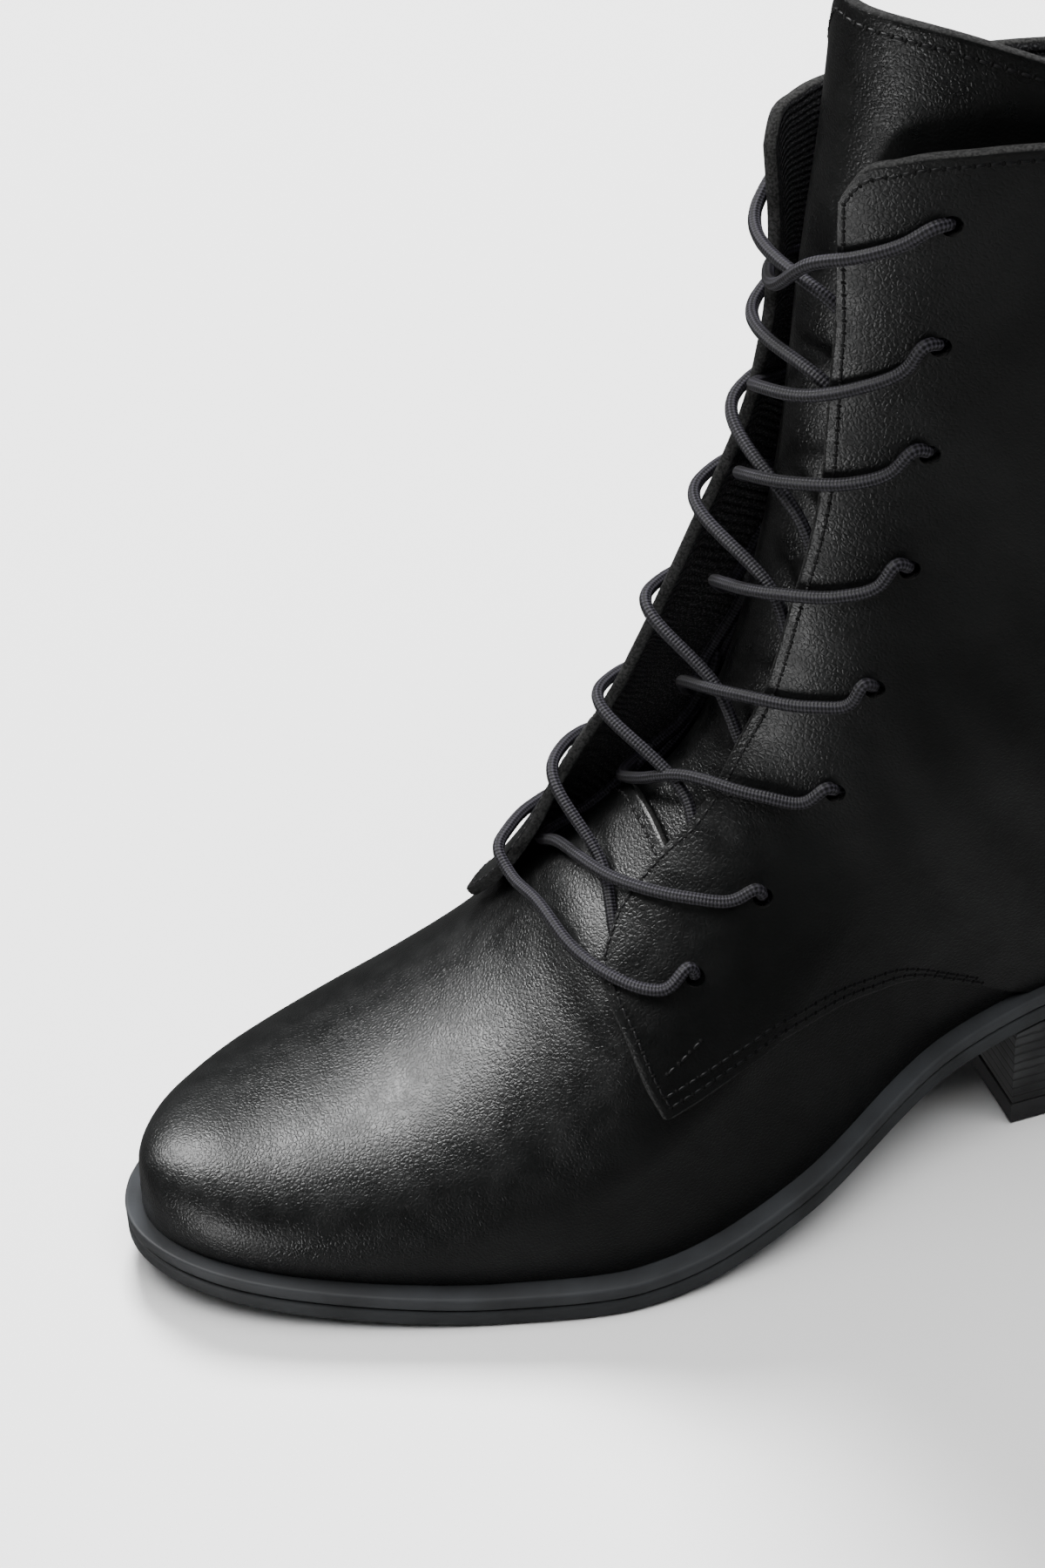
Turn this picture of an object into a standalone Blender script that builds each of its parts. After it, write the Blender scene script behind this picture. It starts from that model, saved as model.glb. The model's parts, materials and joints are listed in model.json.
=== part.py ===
"""Lace up ankle boot, left foot, built as separate solids.

Frame: +X towards the toe, +Y towards the wearer's left (the outer side), +Z up,
origin on the heel's ground face, on the boot's centre line.
"""
import bpy
import bmesh
import numpy as np
from mathutils import Vector

MM = 0.001

# Sole and heel sizes
SOLE_LENGTH = 261 * MM
BALL_WIDTH = 88 * MM
HEEL_BACK = 30 * MM
PITCH = 38 * MM
TOE_SPRING = 7.3 * MM
SOLE_THICKNESS = 3.9 * MM
WELT_THICKNESS = 3.2 * MM
WELT_LEDGE = 4.6 * MM
TOE_LEDGE = 3.6 * MM
HEEL_LEDGE = 3.2 * MM
HEEL_RUN = 76 * MM
HEEL_BASE_WIDTH = 47 * MM
HEEL_BASE_SET_BACK = 2.5 * MM
TOP_LIFT_THICKNESS = 6 * MM

# Upper sizes
SHAFT_RISE = 191.6 * MM
VAMP_WALL = 1.8 * MM
QUARTER_WALL = 2.4 * MM
QUARTER_STEP = 1.2 * MM
TONGUE_WALL = 2.2 * MM
INSOLE_THICKNESS = 3.0 * MM
INSOLE_CLEARANCE = 0.9 * MM
EYELET_RADIUS = 2.0 * MM
EYELET_DEPTH = 12 * MM
LACE_RADIUS = 1.25 * MM
LACE_CLEARANCE = 0.5 * MM
FAR_FACING_LIFT = 16 * MM
NEAR_FACING_LIFT = 2.2 * MM
SEAT_GAP = 0.3 * MM

NEAR = 1
FAR = -1

# Sole outline and ground line, a row for each station.
# run: share of SOLE_LENGTH from the heel's back.
# near, far: half widths as shares of BALL_WIDTH, closing to a round end.
# pitch: share of PITCH. spring: share of TOE_SPRING.
SOLE_COLUMNS = ("run", "near", "far", "pitch", "spring")
SOLE_TABLE = (
    (0.000, 0.000, 0.000, 1.000, 0.000),
    (0.076, 0.270, 0.273, 0.997, 0.000),
    (0.192, 0.332, 0.324, 0.968, 0.000),
    (0.345, 0.356, 0.307, 0.690, 0.000),
    (0.498, 0.516, 0.352, 0.250, 0.000),
    (0.592, 0.553, 0.415, 0.035, 0.000),
    (0.642, 0.555, 0.453, 0.000, 0.000),
    (0.747, 0.489, 0.495, 0.000, 0.000),
    (0.873, 0.363, 0.409, 0.000, 0.360),
    (0.958, 0.219, 0.243, 0.000, 0.730),
    (1.000, 0.000, 0.000, 0.000, 1.000),
)

# Sections of the last, a row for each plane of the fan, from the toe round the
# instep to the collar. Each plane runs from the feather line or the back line
# to the ridge.
# top_run, end_run: shares of SOLE_LENGTH from the heel's back.
# top_rise, end_rise: shares of SHAFT_RISE above the sole's upper face there.
# near, far: widest half width beyond the feather line, shares of BALL_WIDTH.
# belly: share of the section where it is widest.
# crown: how round the section is over the ridge, 2 being an ellipse.
# lean: ridge's shift to the near side, share of BALL_WIDTH.
LAST_COLUMNS = ("top_run", "top_rise", "end_run", "end_rise", "near", "far", "belly", "crown", "lean")
LAST_TABLE = (
    (0.9862, 0.036, 0.9862, 0.000, 0.000, 0.000, 0.30, 2.10, 0.000),
    (0.9800, 0.071, 0.9800, 0.000, 0.009, 0.009, 0.30, 2.10, -0.003),
    (0.9617, 0.096, 0.9617, 0.000, 0.014, 0.014, 0.30, 2.10, -0.009),
    (0.9311, 0.114, 0.9311, 0.000, 0.018, 0.018, 0.30, 2.10, -0.017),
    (0.8735, 0.134, 0.8735, 0.000, 0.023, 0.023, 0.30, 2.10, -0.028),
    (0.7854, 0.177, 0.7854, 0.000, 0.025, 0.025, 0.32, 2.05, -0.038),
    (0.6896, 0.257, 0.6896, 0.000, 0.018, 0.023, 0.34, 1.95, -0.042),
    (0.6245, 0.346, 0.6169, 0.000, 0.006, 0.030, 0.38, 1.80, -0.036),
    (0.5632, 0.398, 0.5364, 0.000, -0.017, 0.045, 0.42, 1.70, -0.024),
    (0.5287, 0.410, 0.4521, 0.000, -0.011, 0.055, 0.46, 1.65, -0.014),
    (0.5069, 0.425, 0.3602, 0.000, 0.018, 0.057, 0.50, 1.65, -0.008),
    (0.4897, 0.462, 0.2605, 0.000, 0.043, 0.054, 0.54, 1.66, -0.004),
    (0.4751, 0.540, 0.1571, 0.000, 0.060, 0.055, 0.56, 1.68, 0.000),
    (0.4655, 0.614, 0.0690, 0.000, 0.138, 0.127, 0.57, 1.70, 0.000),
    (0.4610, 0.671, 0.0122, 0.000, 0.360, 0.350, 0.57, 1.72, 0.000),
    (0.4591, 0.713, 0.0027, 0.097, 0.355, 0.345, 0.55, 1.74, 0.000),
    (0.4570, 0.755, 0.0130, 0.233, 0.349, 0.339, 0.53, 1.76, 0.000),
    (0.4559, 0.797, 0.0287, 0.358, 0.348, 0.338, 0.51, 1.80, 0.000),
    (0.4544, 0.838, 0.0410, 0.494, 0.350, 0.340, 0.50, 1.84, 0.000),
    (0.4532, 0.890, 0.0449, 0.650, 0.355, 0.345, 0.49, 1.88, 0.000),
    (0.4521, 0.943, 0.0410, 0.807, 0.362, 0.352, 0.48, 1.92, 0.000),
    (0.4521, 1.000, 0.0345, 0.953, 0.368, 0.358, 0.48, 1.96, 0.000),
    (0.4521, 1.085, 0.0276, 1.060, 0.372, 0.362, 0.48, 1.98, 0.000),
)
CORNER_ROW = 14
# Share of the way up at which a section is widest, and how square it is below.
BELLY_TURN = 0.45
BELLY_ROUND = 2.1
# The wall stands upright by the feather line, and less so over the last
# sections before the heel corner.
UPRIGHT = 1.0
UPRIGHT_FADE = 3
# Share of a section over which the wall's offset turns level at the feather line.
LEVEL_SHARE = 0.25

# Facing edge of the quarters, a row for each section it crosses.
# near_edge, far_edge: shares of the way up from feather line to ridge.
# near_lift, far_lift: how far the free edge stands off the last, as shares of
# NEAR_FACING_LIFT and FAR_FACING_LIFT. The lift fades out over LIFT_FADE.
LIFT_FADE = 0.32
LIFT_PAST = 0.06
FACING_COLUMNS = ("station", "near_edge", "far_edge", "near_lift", "far_lift")
FACING_TABLE = (
    (6.0, 0.800, 0.860, 0.20, 0.34),
    (6.9, 0.820, 0.905, 0.60, 0.48),
    (7.6, 0.850, 0.910, 1.00, 0.78),
    (8.7, 0.845, 0.905, 1.00, 1.00),
    (9.9, 0.830, 0.900, 1.00, 0.98),
    (10.9, 0.820, 0.896, 1.00, 0.86),
    (11.9, 0.826, 0.886, 1.00, 0.61),
    (13.2, 0.830, 0.876, 1.00, 0.37),
    (15.5, 0.836, 0.862, 1.00, 0.20),
    (18.2, 0.832, 0.856, 1.00, 0.13),
    (19.9, 0.840, 0.866, 1.00, 0.20),
    (21.0, 0.842, 0.870, 1.00, 0.24),
)

# Lower edge of the quarters, from the front tab back to the heel's breast.
TAIL_COLUMNS = ("station", "edge")
TAIL_TABLE = (
    (6.0, 0.560),
    (7.23, 0.535),
    (8.33, 0.475),
    (9.73, 0.340),
    (10.40, 0.235),
    (10.70, 0.120),
    (10.85, 0.000),
    (21.0, 0.000),
)

# Front end of the quarters, from the tab corner up to the facing edge.
FRONT_COLUMNS = ("share", "near", "far")
FRONT_TABLE = (
    (0.00, 7.23, 7.10),
    (0.20, 7.12, 6.92),
    (0.50, 7.04, 6.62),
    (0.80, 7.00, 6.32),
    (0.93, 7.06, 6.24),
    (1.00, 7.38, 6.45),
)

# Top line of the quarters, from the back to the rounded front corner.
TOPLINE_COLUMNS = ("share", "near", "far")
TOPLINE_TABLE = (
    (0.00, 0.00, 0.00),
    (0.30, 0.00, 0.34),
    (0.60, 0.02, 0.50),
    (0.78, 0.12, 0.60),
    (0.90, 0.36, 0.76),
    (0.97, 0.72, 1.00),
    (1.00, 1.20, 1.40),
)

# Punched lace holes, from the top pair down.
EYELET_COLUMNS = ("near", "near_share", "far", "far_share")
EYELET_TABLE = (
    (19.90, 0.690, 19.75, 0.715),
    (18.20, 0.690, 18.05, 0.715),
    (16.12, 0.698, 15.90, 0.720),
    (13.62, 0.698, 13.35, 0.720),
    (11.82, 0.670, 11.60, 0.710),
    (10.68, 0.642, 10.45, 0.700),
    (9.10, 0.668, 8.80, 0.710),
    (7.88, 0.680, 7.55, 0.720),
)

# Tongue, a row for each section: half its spread round the last and how deep
# it lies under the last's surface, as shares of TONGUE_DEPTH.
TONGUE_DEPTH = 8 * MM
TONGUE_COLUMNS = ("station", "near", "far", "middle", "side")
TONGUE_TABLE = (
    (7.0, 0.20, 0.20, 0.30, 0.30),
    (8.0, 0.24, 0.24, 0.30, 0.30),
    (9.5, 0.28, 0.28, 0.34, 0.32),
    (11.0, 0.31, 0.31, 0.36, 0.32),
    (14.0, 0.34, 0.33, 0.36, 0.36),
    (18.0, 0.43, 0.33, 0.55, 0.40),
    (20.0, 0.52, 0.32, 0.85, 0.46),
    (22.0, 0.58, 0.31, 1.20, 0.60),
)
# The tongue's top edge: its section at a share across, from the far side to the near.
TONGUE_TOP_COLUMNS = ("share", "station")
TONGUE_TOP_TABLE = (
    (-1.00, 20.75),
    (-0.50, 21.44),
    (-0.19, 21.90),
    (0.21, 21.95),
    (0.57, 21.86),
    (0.72, 21.46),
    (1.00, 20.75),
)

# Rear end of the vamp, from the feather line up to the throat.
VAMP_COLUMNS = ("share", "station")
VAMP_TABLE = (
    (0.00, 11.35),
    (0.12, 11.20),
    (0.235, 10.95),
    (0.34, 10.40),
    (0.475, 9.10),
    (0.56, 8.45),
    (0.70, 8.15),
    (1.00, 8.00),
)

# Lace crossings from the top: the sections at which the two strands pass over
# their facings' edges, cross, and pass under the other facing's edge.
# middle: share off the ridge, to the near side, at which they cross.
LACE_COLUMNS = ("near_over", "far_over", "cross", "middle", "near_under", "far_under")
LACE_TABLE = (
    (18.80, 18.50, 18.25, 0.08, 18.00, 17.80),
    (16.25, 16.10, 15.75, 0.12, 15.50, 15.35),
    (13.95, 13.55, 13.25, 0.09, 13.05, 12.90),
    (12.10, 12.00, 11.65, 0.07, 11.70, 11.35),
    (10.90, 10.85, 10.35, 0.07, 10.40, 10.05),
    (9.50, 9.10, 8.70, 0.05, 8.75, 8.40),
    (8.00, 7.55, 7.75, 0.13, 7.60, 7.50),
)
BAR_TABLE = (7.20, 6.78, 6.95)
LACE_END_SHARE = 0.115
NEAR_END_HEIGHT = 1.9 * MM
FAR_END_HEIGHT = 3.6 * MM
UNDER_STRAND_HEIGHT = 2.2 * MM
CROSSING_OVERLAP = 0.3 * MM
HOLE_CLEARANCE = 0.028

# Mesh counts
VAMP_ROWS = 18
VAMP_SIDE_COUNT = 12
QUARTER_ACROSS = 12
QUARTER_STATIONS = (
    7.23, 7.5, 7.9, 8.4, 9.0, 9.6, 10.1, 10.4, 10.62, 10.76, 10.85, 11.1, 11.4, 11.75, 12.1,
    12.4, 12.7, 13.0, 13.3, 13.5, 13.7, 13.9, 14.0, 14.5, 15.1, 15.8, 16.6, 17.4, 18.2, 19.0, 19.7, 20.3, 20.7, 21.0,
)
TONGUE_ROWS = 20
TONGUE_ACROSS = 12
SOLE_ROWS = 40
SOLE_ACROSS = 2
HEEL_ROWS = 16
LACE_POINTS = 12
BAR_POINTS = 18
EYELET_SEGMENTS = 12
STEP = 1e-3


def column(table, columns, name):
    """One named column of a table."""
    return np.array([row[columns.index(name)] for row in table], dtype=float)


def smooth(xs, ys, x):
    """Read a smooth curve through a table's points at x."""
    xs = np.asarray(xs, dtype=float)
    ys = np.asarray(ys, dtype=float)
    x = np.clip(np.asarray(x, dtype=float), xs[0], xs[-1])
    width = np.diff(xs)
    rise = np.diff(ys) / width
    slope = np.empty_like(ys)
    slope[0] = rise[0]
    slope[-1] = rise[-1]
    slope[1:-1] = (rise[:-1] * width[1:] + rise[1:] * width[:-1]) / (width[:-1] + width[1:])
    k = np.clip(np.searchsorted(xs, x, side="right") - 1, 0, len(width) - 1)
    t = (x - xs[k]) / width[k]
    return (
        (2 * t**3 - 3 * t**2 + 1) * ys[k]
        + (t**3 - 2 * t**2 + t) * width[k] * slope[k]
        + (-2 * t**3 + 3 * t**2) * ys[k + 1]
        + (t**3 - t**2) * width[k] * slope[k + 1]
    )


def lookup(table, columns, key, name, x):
    """Read a named column of a table against its key column."""
    return smooth(column(table, columns, key), column(table, columns, name), x)


def ramp(x, low, high):
    """Ease from 0 at low to 1 at high."""
    t = np.clip((x - low) / (high - low), 0.0, 1.0)
    return t * t * (3 - 2 * t)


def sole_run(x):
    """Share of the sole's length at a place along it."""
    return (np.asarray(x, dtype=float) + HEEL_BACK) / SOLE_LENGTH


def outline_turn(x, back, front):
    """Angle round an outline with round ends, from its front end."""
    middle = (front + back) / 2
    radius = (front - back) / 2
    return np.arccos(np.clip((np.asarray(x, dtype=float) - middle) / radius, -1, 1))


def fullness(name):
    """The outline's width as shares of an ellipse's, for one side."""
    runs = column(SOLE_TABLE, SOLE_COLUMNS, "run")
    half = column(SOLE_TABLE, SOLE_COLUMNS, name) * BALL_WIDTH
    turn = np.arccos(np.clip(2 * runs - 1, -1, 1))
    full = half.copy()
    full[1:-1] = half[1:-1] / np.sin(turn[1:-1])
    full[0] = full[1]
    full[-1] = full[-2]
    return full


FULLNESS = {NEAR: fullness("near"), FAR: fullness("far")}
TOE_FRONT = SOLE_LENGTH - HEEL_BACK
FEATHER_BACK = HEEL_LEDGE - HEEL_BACK
FEATHER_FRONT = TOE_FRONT - TOE_LEDGE


def sole_half(x, side):
    """Half width of the sole's outline."""
    runs = column(SOLE_TABLE, SOLE_COLUMNS, "run")
    turn = outline_turn(x, -HEEL_BACK, TOE_FRONT)
    return smooth(runs, FULLNESS[side], sole_run(x)) * np.sin(turn)


def inset_half(x, side, toe_inset, heel_inset):
    """Half width of an outline that lies inside the sole's by a ledge."""
    back = heel_inset - HEEL_BACK
    front = TOE_FRONT - toe_inset + WELT_LEDGE - TOE_LEDGE
    turn = outline_turn(x, back, front)
    runs = column(SOLE_TABLE, SOLE_COLUMNS, "run")
    full = smooth(runs, FULLNESS[side], (1 + np.cos(turn)) / 2)
    share = np.clip((HEEL_RUN - np.asarray(x, dtype=float)) / HEEL_RUN, 0, 1)
    inset = toe_inset + (heel_inset - toe_inset) * share
    return np.maximum(full - inset, 0) * np.sin(turn)


def feather_half(x, side):
    """Half width of the line where the upper meets the sole."""
    return inset_half(x, side, WELT_LEDGE, HEEL_LEDGE)


def ground_line(x):
    """Height of the sole's under face."""
    run = sole_run(x)
    pitch = lookup(SOLE_TABLE, SOLE_COLUMNS, "run", "pitch", run) * PITCH
    spring = lookup(SOLE_TABLE, SOLE_COLUMNS, "run", "spring", run) * TOE_SPRING
    return np.maximum(pitch, 0) + np.maximum(spring, 0)


def welt_under(x):
    """Height of the welt's under face."""
    return ground_line(x) + SOLE_THICKNESS + SEAT_GAP


def sole_top(x):
    """Height of the sole's upper face."""
    return welt_under(x) + WELT_THICKNESS


def last_column(name, station):
    """Read a column of the last's table at a section number."""
    values = column(LAST_TABLE, LAST_COLUMNS, name)
    return smooth(np.arange(len(values)), values, station)


def last_half(station, side):
    """Widest half width of a section, and its half width at its lower end."""
    name = "near" if side == NEAR else "far"
    stations = np.arange(len(LAST_TABLE))
    ends = column(LAST_TABLE, LAST_COLUMNS, "end_run") * SOLE_LENGTH - HEEL_BACK
    base = np.where(stations < CORNER_ROW, feather_half(ends, side), 0)
    wide = base + column(LAST_TABLE, LAST_COLUMNS, name) * BALL_WIDTH
    end = last_column("end_run", station) * SOLE_LENGTH - HEEL_BACK
    low = np.where(station < CORNER_ROW, feather_half(end, side), 0)
    return smooth(stations, wide, station), low


def last_point(station, g):
    """Point on the last.

    station counts the sections of LAST_TABLE. g is 1 at the near feather line,
    0 on the ridge and -1 at the far feather line.
    """
    station, g = np.broadcast_arrays(np.asarray(station, dtype=float), np.asarray(g, dtype=float))
    up = 1 - np.abs(g)
    end_x = last_column("end_run", station) * SOLE_LENGTH - HEEL_BACK
    top_x = last_column("top_run", station) * SOLE_LENGTH - HEEL_BACK
    seat = sole_top(np.clip(end_x, FEATHER_BACK, FEATHER_FRONT)) + SEAT_GAP
    end_rise = np.where(station < CORNER_ROW, 0, last_column("end_rise", station))
    end_z = seat + np.maximum(end_rise, 0) * SHAFT_RISE
    top_z = seat + last_column("top_rise", station) * SHAFT_RISE
    near_wide, near_low = last_half(station, NEAR)
    far_wide, far_low = last_half(station, FAR)
    wide = np.where(g >= 0, near_wide, far_wide)
    low = np.where(g >= 0, near_low, far_low)
    crown = last_column("crown", station)
    belly = last_column("belly", station)
    dip = np.clip((BELLY_TURN - up) / BELLY_TURN, 0, 1) * np.pi / 2
    arch = np.clip((up - BELLY_TURN) / (1 - BELLY_TURN), 0, 1) * np.pi / 2
    below = up < BELLY_TURN
    upright = 1 + UPRIGHT * (1 - ramp(station, CORNER_ROW - UPRIGHT_FADE, CORNER_ROW))
    half_low = low + (wide - low) * np.cos(dip) ** (2 * upright / BELLY_ROUND)
    half_high = wide * np.abs(np.cos(arch)) ** (2 / crown)
    half = np.where(below, half_low, half_high)
    along_low = belly * (1 - np.sin(dip) ** (2 / BELLY_ROUND))
    along_high = belly + (1 - belly) * np.sin(arch) ** (2 / crown)
    along = np.where(below, along_low, along_high)
    x = end_x + (top_x - end_x) * along
    z = end_z + (top_z - end_z) * along
    y = np.sign(g) * half + last_column("lean", station) * BALL_WIDTH * along
    return np.stack([x, y, z], axis=-1)


def on_centre_line(station, g):
    """True on the toe's tip and down the back, where both sides meet."""
    return (station < STEP) | ((np.abs(g) > 1 - STEP) & (station > CORNER_ROW - STEP))


def side_normal(station, g):
    """Outward direction of one side's surface."""
    ahead = last_point(np.maximum(station - STEP, 0), g) - last_point(station + STEP, g)
    across = last_point(station, np.minimum(g + STEP, 1)) - last_point(station, np.maximum(g - STEP, -1))
    out = np.cross(ahead, across)
    return out / np.linalg.norm(out, axis=-1, keepdims=True)


def level_normal(station, g):
    """Level direction square to the feather line."""
    ahead = last_point(np.maximum(station - STEP, 0), g) - last_point(station + STEP, g)
    side = np.where(g >= 0, 1.0, -1.0)
    out = np.stack([-ahead[..., 1] * side, ahead[..., 0] * side, np.zeros(side.shape)], axis=-1)
    tip = (station < STEP) | (station > CORNER_ROW - STEP)
    out[..., 1] = np.where(tip, 0, out[..., 1])
    return out / np.maximum(np.linalg.norm(out, axis=-1, keepdims=True), STEP * MM)


def last_normal(station, g):
    """Outward direction of the last, the mean of both sides where they meet."""
    station, g = np.broadcast_arrays(np.asarray(station, dtype=float), np.asarray(g, dtype=float))
    out = side_normal(station, g)
    other = side_normal(station, -g)
    shared = on_centre_line(station, g)[..., None]
    out = np.where(shared, out + other, out)
    out = out * np.where(shared, np.array([1.0, 0.0, 1.0]), 1.0)
    out = out / np.linalg.norm(out, axis=-1, keepdims=True)
    by_feather = ramp(np.abs(g), 1 - LEVEL_SHARE, 1) * (1 - ramp(station, CORNER_ROW, CORNER_ROW + 1))
    out = out + (level_normal(station, g) - out) * by_feather[..., None]
    return out / np.linalg.norm(out, axis=-1, keepdims=True)


def offset_point(station, g, offset):
    """Point at a distance outside the last."""
    offset = np.asarray(offset, dtype=float)
    point = last_point(station, g) + last_normal(station, g) * offset[..., None]
    station, g = np.broadcast_arrays(np.asarray(station, dtype=float), np.asarray(g, dtype=float))
    point[..., 1] = np.where(on_centre_line(station, g), 0, point[..., 1])
    on_feather = (np.abs(g) > 1 - STEP) & (station < CORNER_ROW + STEP)
    floor = sole_top(np.clip(point[..., 0], FEATHER_BACK, FEATHER_FRONT)) + SEAT_GAP
    point[..., 2] = np.where(on_feather, floor, point[..., 2])
    return point


def facing_edge(station, side):
    """Share of the way up at which a facing's free edge runs."""
    name = "near_edge" if side == NEAR else "far_edge"
    return lookup(FACING_TABLE, FACING_COLUMNS, "station", name, station)


def tail_edge(station):
    """Share of the way up at which the quarter's lower edge runs."""
    return np.clip(lookup(TAIL_TABLE, TAIL_COLUMNS, "station", "edge", station), 0, 1)


def facing_lift(station, up, side):
    """How far a quarter stands off the last near its free front edge."""
    if side == NEAR:
        high = lookup(FACING_TABLE, FACING_COLUMNS, "station", "near_lift", station) * NEAR_FACING_LIFT
    else:
        high = lookup(FACING_TABLE, FACING_COLUMNS, "station", "far_lift", station) * FAR_FACING_LIFT
    edge = facing_edge(station, side)
    return np.maximum(high, 0) * ramp(up, edge - LIFT_FADE, edge + LIFT_PAST)


def eyelets(side):
    """Sections and shares of one facing's lace holes, from the top down."""
    station, share = ("near", "near_share") if side == NEAR else ("far", "far_share")
    return column(EYELET_TABLE, EYELET_COLUMNS, station), column(EYELET_TABLE, EYELET_COLUMNS, share)


def new_collection(name):
    """Add a collection to the scene."""
    collection = bpy.data.collections.new(name)
    bpy.context.scene.collection.children.link(collection)
    return collection


def new_material(name, colour, roughness, metallic=0.0):
    """A plain finish."""
    material = bpy.data.materials.new(name)
    material.use_nodes = True
    shader = material.node_tree.nodes["Principled BSDF"]
    shader.inputs["Base Color"].default_value = (*colour, 1)
    shader.inputs["Roughness"].default_value = roughness
    shader.inputs["Metallic"].default_value = metallic
    return material


def add_mesh(name, points, faces, material, collection):
    """Make a closed solid from points and faces, with its doubles merged."""
    mesh = bpy.data.meshes.new(name)
    bm = bmesh.new()
    verts = [bm.verts.new(Vector(point)) for point in points]
    for face in faces:
        corners = list(dict.fromkeys(face))
        if len(corners) > 2:
            bm.faces.new([verts[i] for i in corners])
    bmesh.ops.remove_doubles(bm, verts=bm.verts, dist=0.00001)
    bmesh.ops.dissolve_degenerate(bm, edges=bm.edges, dist=0.00001)
    bmesh.ops.recalc_face_normals(bm, faces=bm.faces)
    bmesh.ops.triangulate(bm, faces=bm.faces)
    bm.to_mesh(mesh)
    bm.free()
    mesh.materials.append(material)
    mesh.shade_smooth()
    mesh.set_sharp_from_angle(angle=np.radians(40))
    piece = bpy.data.objects.new(name, mesh)
    collection.objects.link(piece)
    return piece


def grid_faces(rows, across, start, flip=False):
    """Faces of a grid of points numbered row by row."""
    faces = []
    for i in range(rows - 1):
        for j in range(across - 1):
            a = start + i * across + j
            face = (a, a + 1, a + across + 1, a + across)
            faces.append(face[::-1] if flip else face)
    return faces


def rim_faces(outer, inner):
    """Faces that join two edges of the same count."""
    faces = []
    for k in range(len(outer) - 1):
        faces.append((outer[k], outer[k + 1], inner[k + 1], inner[k]))
    return faces


def wall_faces(rows, across, start, open_from=None, folded_front=False):
    """Faces of a wall: two grids and the rims round them.

    open_from is the row from which the first column is left without a rim,
    where it meets the same column of another wall. A folded front row meets
    itself down the middle, so it has no rim.
    """
    count = rows * across
    outer = [start + k for k in range(count)]
    inner = [start + count + k for k in range(count)]
    faces = grid_faces(rows, across, start) + grid_faces(rows, across, start + count, flip=True)
    last = (rows - 1) * across
    first_column = list(range(0, count, across))
    if open_from is not None:
        first_column = first_column[: open_from + 1]
    edges = [
        list(range(last, last + across)),
        first_column,
        list(range(across - 1, count, across)),
    ]
    if not folded_front:
        edges.append(list(range(across)))
    for edge in edges:
        faces += rim_faces([outer[k] for k in edge], [inner[k] for k in edge])
    return faces


def make_vamp(collection, material):
    """The vamp: one wall from the toe back to the throat and under the quarters."""
    g = np.linspace(1, -1, 2 * VAMP_SIDE_COUNT + 1)
    end = lookup(VAMP_TABLE, VAMP_COLUMNS, "share", "station", 1 - np.abs(g))
    share = (np.arange(VAMP_ROWS + 1) / VAMP_ROWS)[:, None]
    station = share * end[None, :]
    g = np.broadcast_to(g, station.shape)
    outer = offset_point(station, g, np.zeros(station.shape))
    inner = offset_point(station, g, np.full(station.shape, -VAMP_WALL))
    points = np.concatenate([outer.reshape(-1, 3), inner.reshape(-1, 3)])
    faces = wall_faces(station.shape[0], station.shape[1], 0, folded_front=True)
    return add_mesh("upper", points, faces, material, collection)


def quarter_grid(side):
    """Sections and shares of a quarter's grid, from its lower edge to its facing."""
    across = np.linspace(0, 1, QUARTER_ACROSS)
    name = "near" if side == NEAR else "far"
    front = lookup(FRONT_TABLE, FRONT_COLUMNS, "share", name, across)
    front[0] = QUARTER_STATIONS[0]
    drop = lookup(TOPLINE_TABLE, TOPLINE_COLUMNS, "share", name, across)
    top = QUARTER_STATIONS[-1] - drop
    rows = np.array(QUARTER_STATIONS)
    share = ((rows - rows[0]) / (rows[-1] - rows[0]))[:, None]
    station = front[None, :] + (top - front)[None, :] * share
    low = tail_edge(station)
    high = facing_edge(station, side)
    up = low + (high - low) * across[None, :]
    up[:, 0] = np.where(rows >= TAIL_TABLE[-2][0], 0, up[:, 0])
    return station, up


def make_quarters(collection, material):
    """Both quarters as one wall, joined down the back."""
    points = []
    faces = []
    for side in (NEAR, FAR):
        station, up = quarter_grid(side)
        g = side * (1 - up)
        lift = facing_lift(station, up, side)
        outer = offset_point(station, g, lift + QUARTER_STEP)
        inner = offset_point(station, g, lift + QUARTER_STEP - QUARTER_WALL)
        start = sum(len(block) for block in points)
        points += [outer.reshape(-1, 3), inner.reshape(-1, 3)]
        back_row = QUARTER_STATIONS.index(float(CORNER_ROW))
        faces += wall_faces(station.shape[0], station.shape[1], start, open_from=back_row)
    return add_mesh("quarters", np.concatenate(points), faces, material, collection)


def join_solids(target, others, operation):
    """Apply a Boolean of several closed solids to a piece."""
    for other in others:
        modifier = target.modifiers.new("join", "BOOLEAN")
        modifier.object = other
        modifier.operation = operation
        modifier.solver = "EXACT"
    graph = bpy.context.evaluated_depsgraph_get()
    graph.update()
    mesh = bpy.data.meshes.new_from_object(target.evaluated_get(graph))
    target.modifiers.clear()
    old = target.data
    target.data = mesh
    mesh.name = target.name
    bpy.data.meshes.remove(old)
    for other in others:
        bpy.data.objects.remove(other)


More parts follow.
